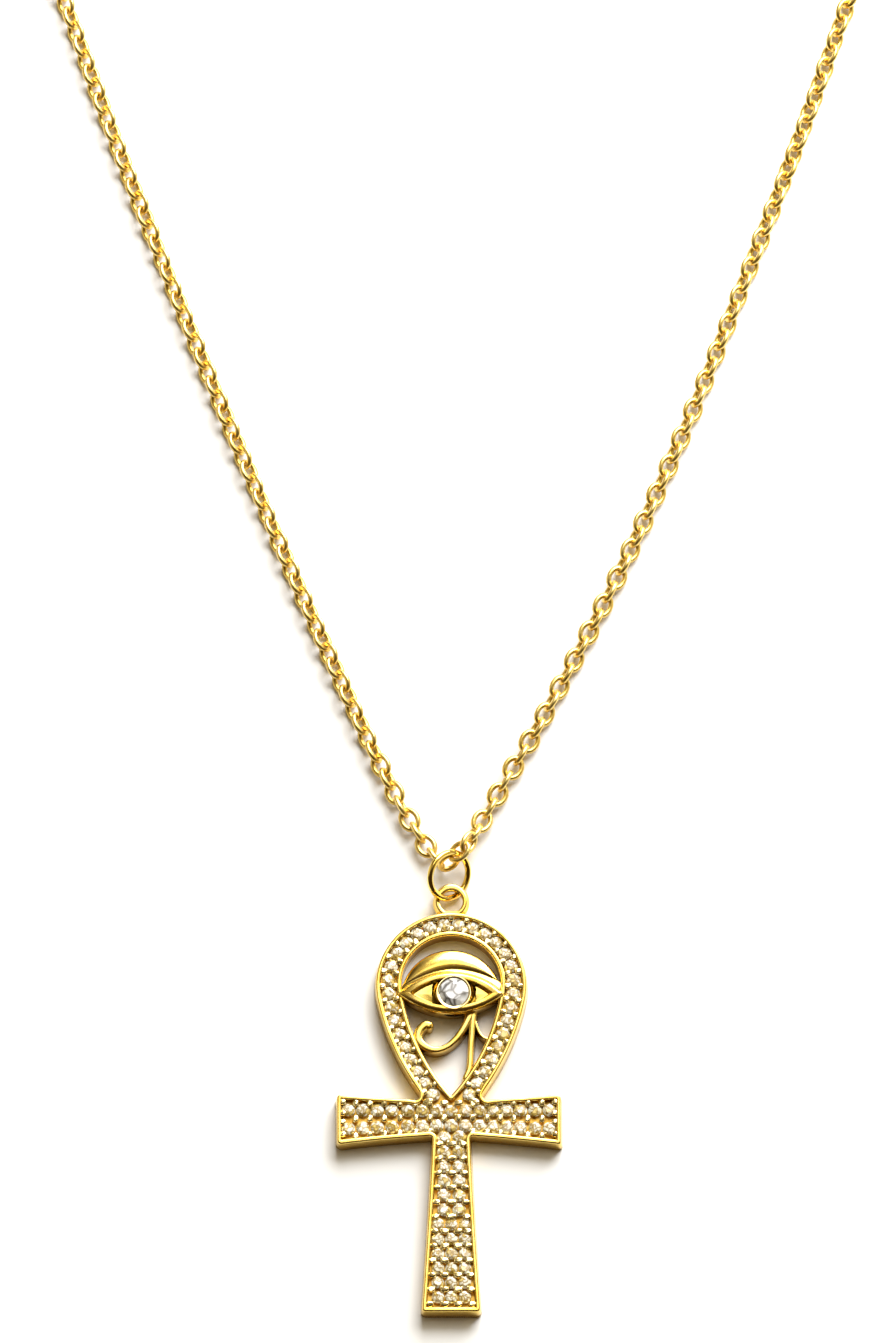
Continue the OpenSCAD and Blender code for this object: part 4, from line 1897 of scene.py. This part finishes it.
        # A hair under the even pitch, so that the last link isn't lost to rounding.
        pitch = length / count * MM * 0.9999
        mesh = run_nodes(line, tree, {
            "Pitch": pitch, "Half Length": (self.link_len - self.wire) / 2 * MM,
            "Half Width": (self.link_w - self.wire) / 2 * MM, "Wire Radius": self.wire / 2 * MM,
            "Loose Turn": self.loose, "Seed": seed, "Finish": finish})
        bpy.data.objects.remove(line)
        mesh.name = name
        smooth(mesh, crease=80)
        LOG.info("%s: %.1f mm, %d links", name, length, count + 1)
        return in_scene(name, mesh)

    def build(self, centre: Vector, finish: bpy.types.Material) -> None:
        """Builds both strands.

        Args:
            centre: The jump ring's centre.
            finish: The links' material.
        """
        low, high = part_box("clasp")
        tree = self.plan()
        middle = (low.y + high.y) / 2 / MM
        left_end = (low.x / MM + self.into_clasp, middle)
        right_end = (high.x / MM - self.into_clasp, middle)
        left_path = self.strand(self.left, self.left_far, centre, left_end)
        right_path = self.strand(self.right, self.right_far, centre, right_end)
        left = self.lay("chain_left_strand", left_path, tree, finish, seed=3)
        settle(left, None, Slot.CHAIN_GOLD, "chain")
        right = self.lay("chain_right_strand", right_path, tree, finish, seed=8)
        settle(right, None, Slot.CHAIN_GOLD)


@dataclass
class Clasp:
    """A plain claw clasp with rounded edges, a wide hook and an eye at its tail.

    Attributes:
        bar: Width of the hook's bar.
        tail_bar: Width of the tail's bar.
        tail_share: Radius of the tail, as a share of the hook's.
        edge_r: Size of the rounded edges.
        edge_mid: How far the middle of a rounded edge lies from each face.
        hole_flare: How far the holes open towards the faces, as a share of the edges' inset.
    """

    bar: float = 1.0
    tail_bar: float = 0.7
    tail_share: float = 0.6
    edge_r: float = 0.3
    edge_mid: float = 0.1
    hole_flare: float = 0.6

    def pill(self, hook: Point, hook_r: float, tail: Point, tail_r: float, inset: float) -> Outline:
        """Draws the outline round the hook's and the tail's circles.

        Args:
            hook: The hook's centre.
            hook_r: Its radius.
            tail: The tail's centre.
            tail_r: Its radius.
            inset: How far the outline is drawn in.

        Returns:
            A closed outline.
        """
        lean = math.degrees(math.asin((hook_r - tail_r) / (tail[0] - hook[0])))
        return [
            *[on_circle(hook, hook_r - inset, a) for a in spread(90 - lean, 270 + lean, 40)],
            *[on_circle(tail, tail_r - inset, a) for a in spread(-90 + lean, 90 - lean, 24)]]

    def build(self, finish: bpy.types.Material) -> None:
        """Builds the clasp in the CAD clasp's box.

        Args:
            finish: The clasp's material.
        """
        low, high = (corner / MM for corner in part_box("clasp"))
        hook_r = (high.y - low.y) / 2
        tail_r = self.tail_share * hook_r
        middle = (low.y + high.y) / 2
        hook = (low.x + hook_r, middle)
        tail = (high.x - tail_r, middle)
        edge, mid = self.edge_r, self.edge_mid
        levels = [(edge, low.z), (mid, low.z + mid), (0, low.z + edge),
                  (0, high.z - edge), (mid, high.z - mid), (edge, high.z)]
        shell = Shell()
        body = [shell.ring(self.pill(hook, hook_r, tail, tail_r, d), z) for d, z in levels]
        holes = []
        for centre, radius in ((hook, hook_r - self.bar), (tail, tail_r - self.tail_bar)):
            rows = []
            for inset, z in levels:
                wide = radius + self.hole_flare * inset
                rows.append(shell.ring([on_circle(centre, wide, 10 * k) for k in range(36)], z))
            shell.loft(rows)
            holes.append(rows)
        shell.loft(body)
        shell.fill(body[0], *[rows[0] for rows in holes])
        shell.fill(body[-1], *[rows[-1] for rows in holes])
        settle(shell.piece("claw_clasp"), finish, Slot.WIRE_GOLD, "clasp")


@dataclass
class EyeStone:
    """The round clear stone in the eye's bezel.

    Attributes:
        eye: The eye that holds it.
        slack: How much smaller its radius is than its seat's.
        turn: Its turn about its own axis, in degrees.
    """

    eye: Eye
    slack: float = 0.02
    turn: float = 12

    def build(self, finish: bpy.types.Material) -> None:
        """Builds the stone.

        Args:
            finish: The stone's material.
        """
        shell = Shell()
        seat = (self.eye.stone_x, self.eye.stone_y, self.eye.stone_z)
        Brilliant().shape(shell, seat, self.eye.stone_r - self.slack, self.turn)
        settle(shell.piece("eye_brilliant", crease=3), finish, Slot.EYE_STONE, "eye_stone")


@dataclass(frozen=True)
class Glow:
    """A soft bright patch of the surroundings.

    Attributes:
        towards: The direction of its middle.
        core: Angle from the middle, in degrees, out to which it is brightest.
        edge: Angle from the middle, in degrees, where it ends.
        strength: Its brightness.
        tone: Its colour.
    """

    towards: Place
    core: float
    edge: float
    strength: float
    tone: Tone = (1, 0.87, 0.58)


@dataclass
class Studio:
    """The white surface, the soft lights and the camera above them.

    Attributes:
        target: The point that the camera looks at.
        view_height: Height of the view at that point, square to the camera.
        elevation: The camera's angle above the surface, in degrees.
        lens: Its focal length.
        sensor: Height of its sensor.
        clip_end: How far it sees, in metres.
        floor_half: Half the side of the white surface.
        lamp_place: Where the lamp stands.
        lamp_aim: The point that it faces.
        lamp_side: Its side.
        lamp_power: Its power, in watts.
        lamp_tone: Its colour.
        dim: Colour of the surroundings between the glows.
        glows: The soft bright patches.
    """

    target: Place = (-0.3, 44.07, 0.0)
    view_height: float = 126.6
    elevation: float = 74
    lens: float = 800
    sensor: float = 36
    clip_end: float = 10
    floor_half: float = 3000
    lamp_place: Place = (125, 325, 230)
    lamp_aim: Place = (0, 10, 0)
    lamp_side: float = 350
    lamp_power: float = 3.8
    lamp_tone: Tone = (0.95, 1, 1.08)
    dim: Colour = (0.045, 0.024, 0.006, 1)
    glows: tuple[Glow, ...] = (
        Glow((0.0, 0.42, 0.9), 16, 40, 0.32),
        Glow((0.02, 0.3, 0.95), 3, 11, 3.3, (1, 0.96, 0.9)),
        Glow((0.3, 0.68, 0.67), 12, 32, 2.0),
        Glow((-0.85, 0.15, 0.5), 8, 30, 0.8),
        Glow((0.9, 0.1, 0.42), 8, 30, 0.8),
        Glow((-0.1, 0.97, 0.22), 5, 32, 0.6))

    def build_lamp(self) -> None:
        """Adds the square soft lamp."""
        data = bpy.data.lights.new("key_light", "AREA")
        data.size = self.lamp_side * MM
        data.energy = self.lamp_power
        data.color = self.lamp_tone
        lamp = in_scene("key_light", data)
        lamp.location = Vector(self.lamp_place) * MM
        towards = Vector(self.lamp_aim) - Vector(self.lamp_place)
        lamp.rotation_euler = towards.to_track_quat("-Z", "Y").to_euler()
        lamp.visible_camera = False

    def build_floor(self) -> None:
        """Adds the white surface."""
        half = self.floor_half
        shell = Shell()
        shell.cap(shell.ring([(-half, -half), (half, -half), (half, half), (-half, half)], 0.0))
        floor = shell.piece("floor")
        floor.data.materials.append(PaperFinish().build())

    def build_world(self) -> None:
        """Sets dim warm surroundings with soft bright patches in them."""
        world = bpy.data.worlds.new("studio")
        world.use_nodes = True
        world.node_tree.nodes.clear()
        kit = Wiring(world.node_tree)
        place = kit.add("ShaderNodeTexCoord").outputs["Generated"]
        tone = kit.add("ShaderNodeRGB").outputs[0]
        tone.default_value = self.dim
        for glow in self.glows:
            aim = Vector(glow.towards).normalized()
            near = kit.add("ShaderNodeVectorMath", {0: place, 1: aim}, operation="DOT_PRODUCT")
            share = kit.add("ShaderNodeMapRange", {
                "Value": near.outputs["Value"], "From Min": math.cos(math.radians(glow.edge)),
                "From Max": math.cos(math.radians(glow.core)), "To Max": glow.strength},
                interpolation_type="SMOOTHSTEP")
            tone = kit.vector("ADD", tone, kit.scaled(glow.tone, share.outputs[0]))
        sky = kit.add("ShaderNodeBackground", {"Color": tone, "Strength": 1.0})
        kit.add("ShaderNodeOutputWorld", {"Surface": sky.outputs[0]})
        bpy.context.scene.world = world

    def build_camera(self) -> None:
        """Adds the camera at the photograph's angle and scale."""
        data = bpy.data.cameras.new("camera")
        data.lens = self.lens
        data.sensor_fit = "VERTICAL"
        data.sensor_height = self.sensor
        data.clip_end = self.clip_end
        distance = self.view_height * self.lens / self.sensor
        lift = math.radians(self.elevation)
        back = Vector((0, -math.cos(lift), math.sin(lift)))
        camera = in_scene("camera", data)
        camera.location = Vector(self.target) * MM + distance * MM * back
        camera.rotation_euler = (math.radians(90 - self.elevation), 0, 0)
        bpy.context.scene.camera = camera

    def build(self) -> None:
        """Builds the whole setting."""
        self.build_floor()
        self.build_world()
        self.build_camera()
        self.build_lamp()
        bpy.context.scene.view_settings.view_transform = "Standard"


# Each finish's foot colour is painted shade that darkens the gold towards the surface that the necklace
# lies on.
GOLDS = (
    GoldFinish("cast_gold"),
    GoldFinish("wire_gold", foot=(0.9, 0.6, 0.12, 1), roughness=0.08, spread=0.06, relief=0.04),
    GoldFinish(
        "chain_gold", light=(0.92, 0.7, 0.25, 1), deep=(0.84, 0.59, 0.15, 1), foot=(0.79, 0.53, 0.11, 1),
        roughness=0.3, spread=0.06, relief=0.02),
    # Copies of the cast gold with a much darker foot: painted shade low on the eye, the brow and the
    # marks below it.
    GoldFinish("eye_gold", foot=(0.3, 0.16, 0.02, 1), foot_top=0.0017),
    GoldFinish("mark_gold", foot=(0.32, 0.17, 0.02, 1), foot_top=0.0013),
    # A paler copy of the gold: a painted highlight on the beads.
    GoldFinish(
        "bead_gold", light=(1, 0.89, 0.52, 1), deep=(1, 0.84, 0.42, 1), foot_top=0.001, roughness=0.12,
        spread=0.05, relief=0.02),
    # A paler copy of the gold, a painted highlight, with a near-black foot: painted shade round the
    # bezel's skirt.
    GoldFinish(
        "bezel_gold", light=(1, 0.89, 0.52, 1), deep=(1, 0.84, 0.42, 1), foot=(0.18, 0.135, 0.035, 1),
        foot_low=0.0022, foot_top=0.0026, roughness=0.12, spread=0.05, relief=0.02),
    # A darker copy of the gold for the skin over the opening's wall: painted shade inside the opening.
    GoldFinish(
        "wall_gold", light=(0.6, 0.36, 0.05, 1), deep=(0.5, 0.28, 0.03, 1), foot=(0.3, 0.15, 0.015, 1),
        foot_top=0.0016),
    GoldFinish(
        "bed_gold", light=(0.95, 0.6, 0.14, 1), deep=(0.7, 0.4, 0.06, 1), foot_top=0.0008,
        roughness=0.32, relief=0.2))
# The stones' tint, cloud and line colours paint their sparkle and reflections.
STONES = (
    StoneFinish("pave_stone"),
    StoneFinish(
        "eye_stone", tint=(1, 1, 0.99, 1), cloud=(0.86, 0.84, 0.8, 1), line=(0.13, 0.12, 0.11, 1),
        scale=800, clear=0.1, index=1.9))


def main() -> None:
    """Builds the necklace piece by piece, then its setting."""
    logging.basicConfig(level=logging.INFO, format="%(name)s: %(message)s")
    polish = polish_group()
    facets = painted_sparkle_group()
    gold = {finish.name: finish.build(polish) for finish in GOLDS}
    stone = {finish.name: finish.build(facets) for finish in STONES}
    outline = AnkhOutline()
    tray = Tray(outline)
    tray.build(gold["cast_gold"])
    tray.build_shade_lining(gold["wall_gold"])
    tray.build_bed(gold["bed_gold"])
    Bail(outline).build(gold["cast_gold"])
    eye = Eye()
    eye.build_body(gold["eye_gold"])
    eye.build_bezel(gold["bezel_gold"])
    Brow(eye).build(gold["eye_gold"])
    EyeMarks().build(gold["mark_gold"])
    Paving(outline).build(stone["pave_stone"], gold["bead_gold"])
    EyeStone(eye).build(stone["eye_stone"])
    ring = JumpRing()
    ring.build(gold["wire_gold"])
    Chain().build(ring.centre(), gold["chain_gold"])
    Clasp().build(gold["wire_gold"])
    Studio().build()


if __name__ == "__main__":
    main()
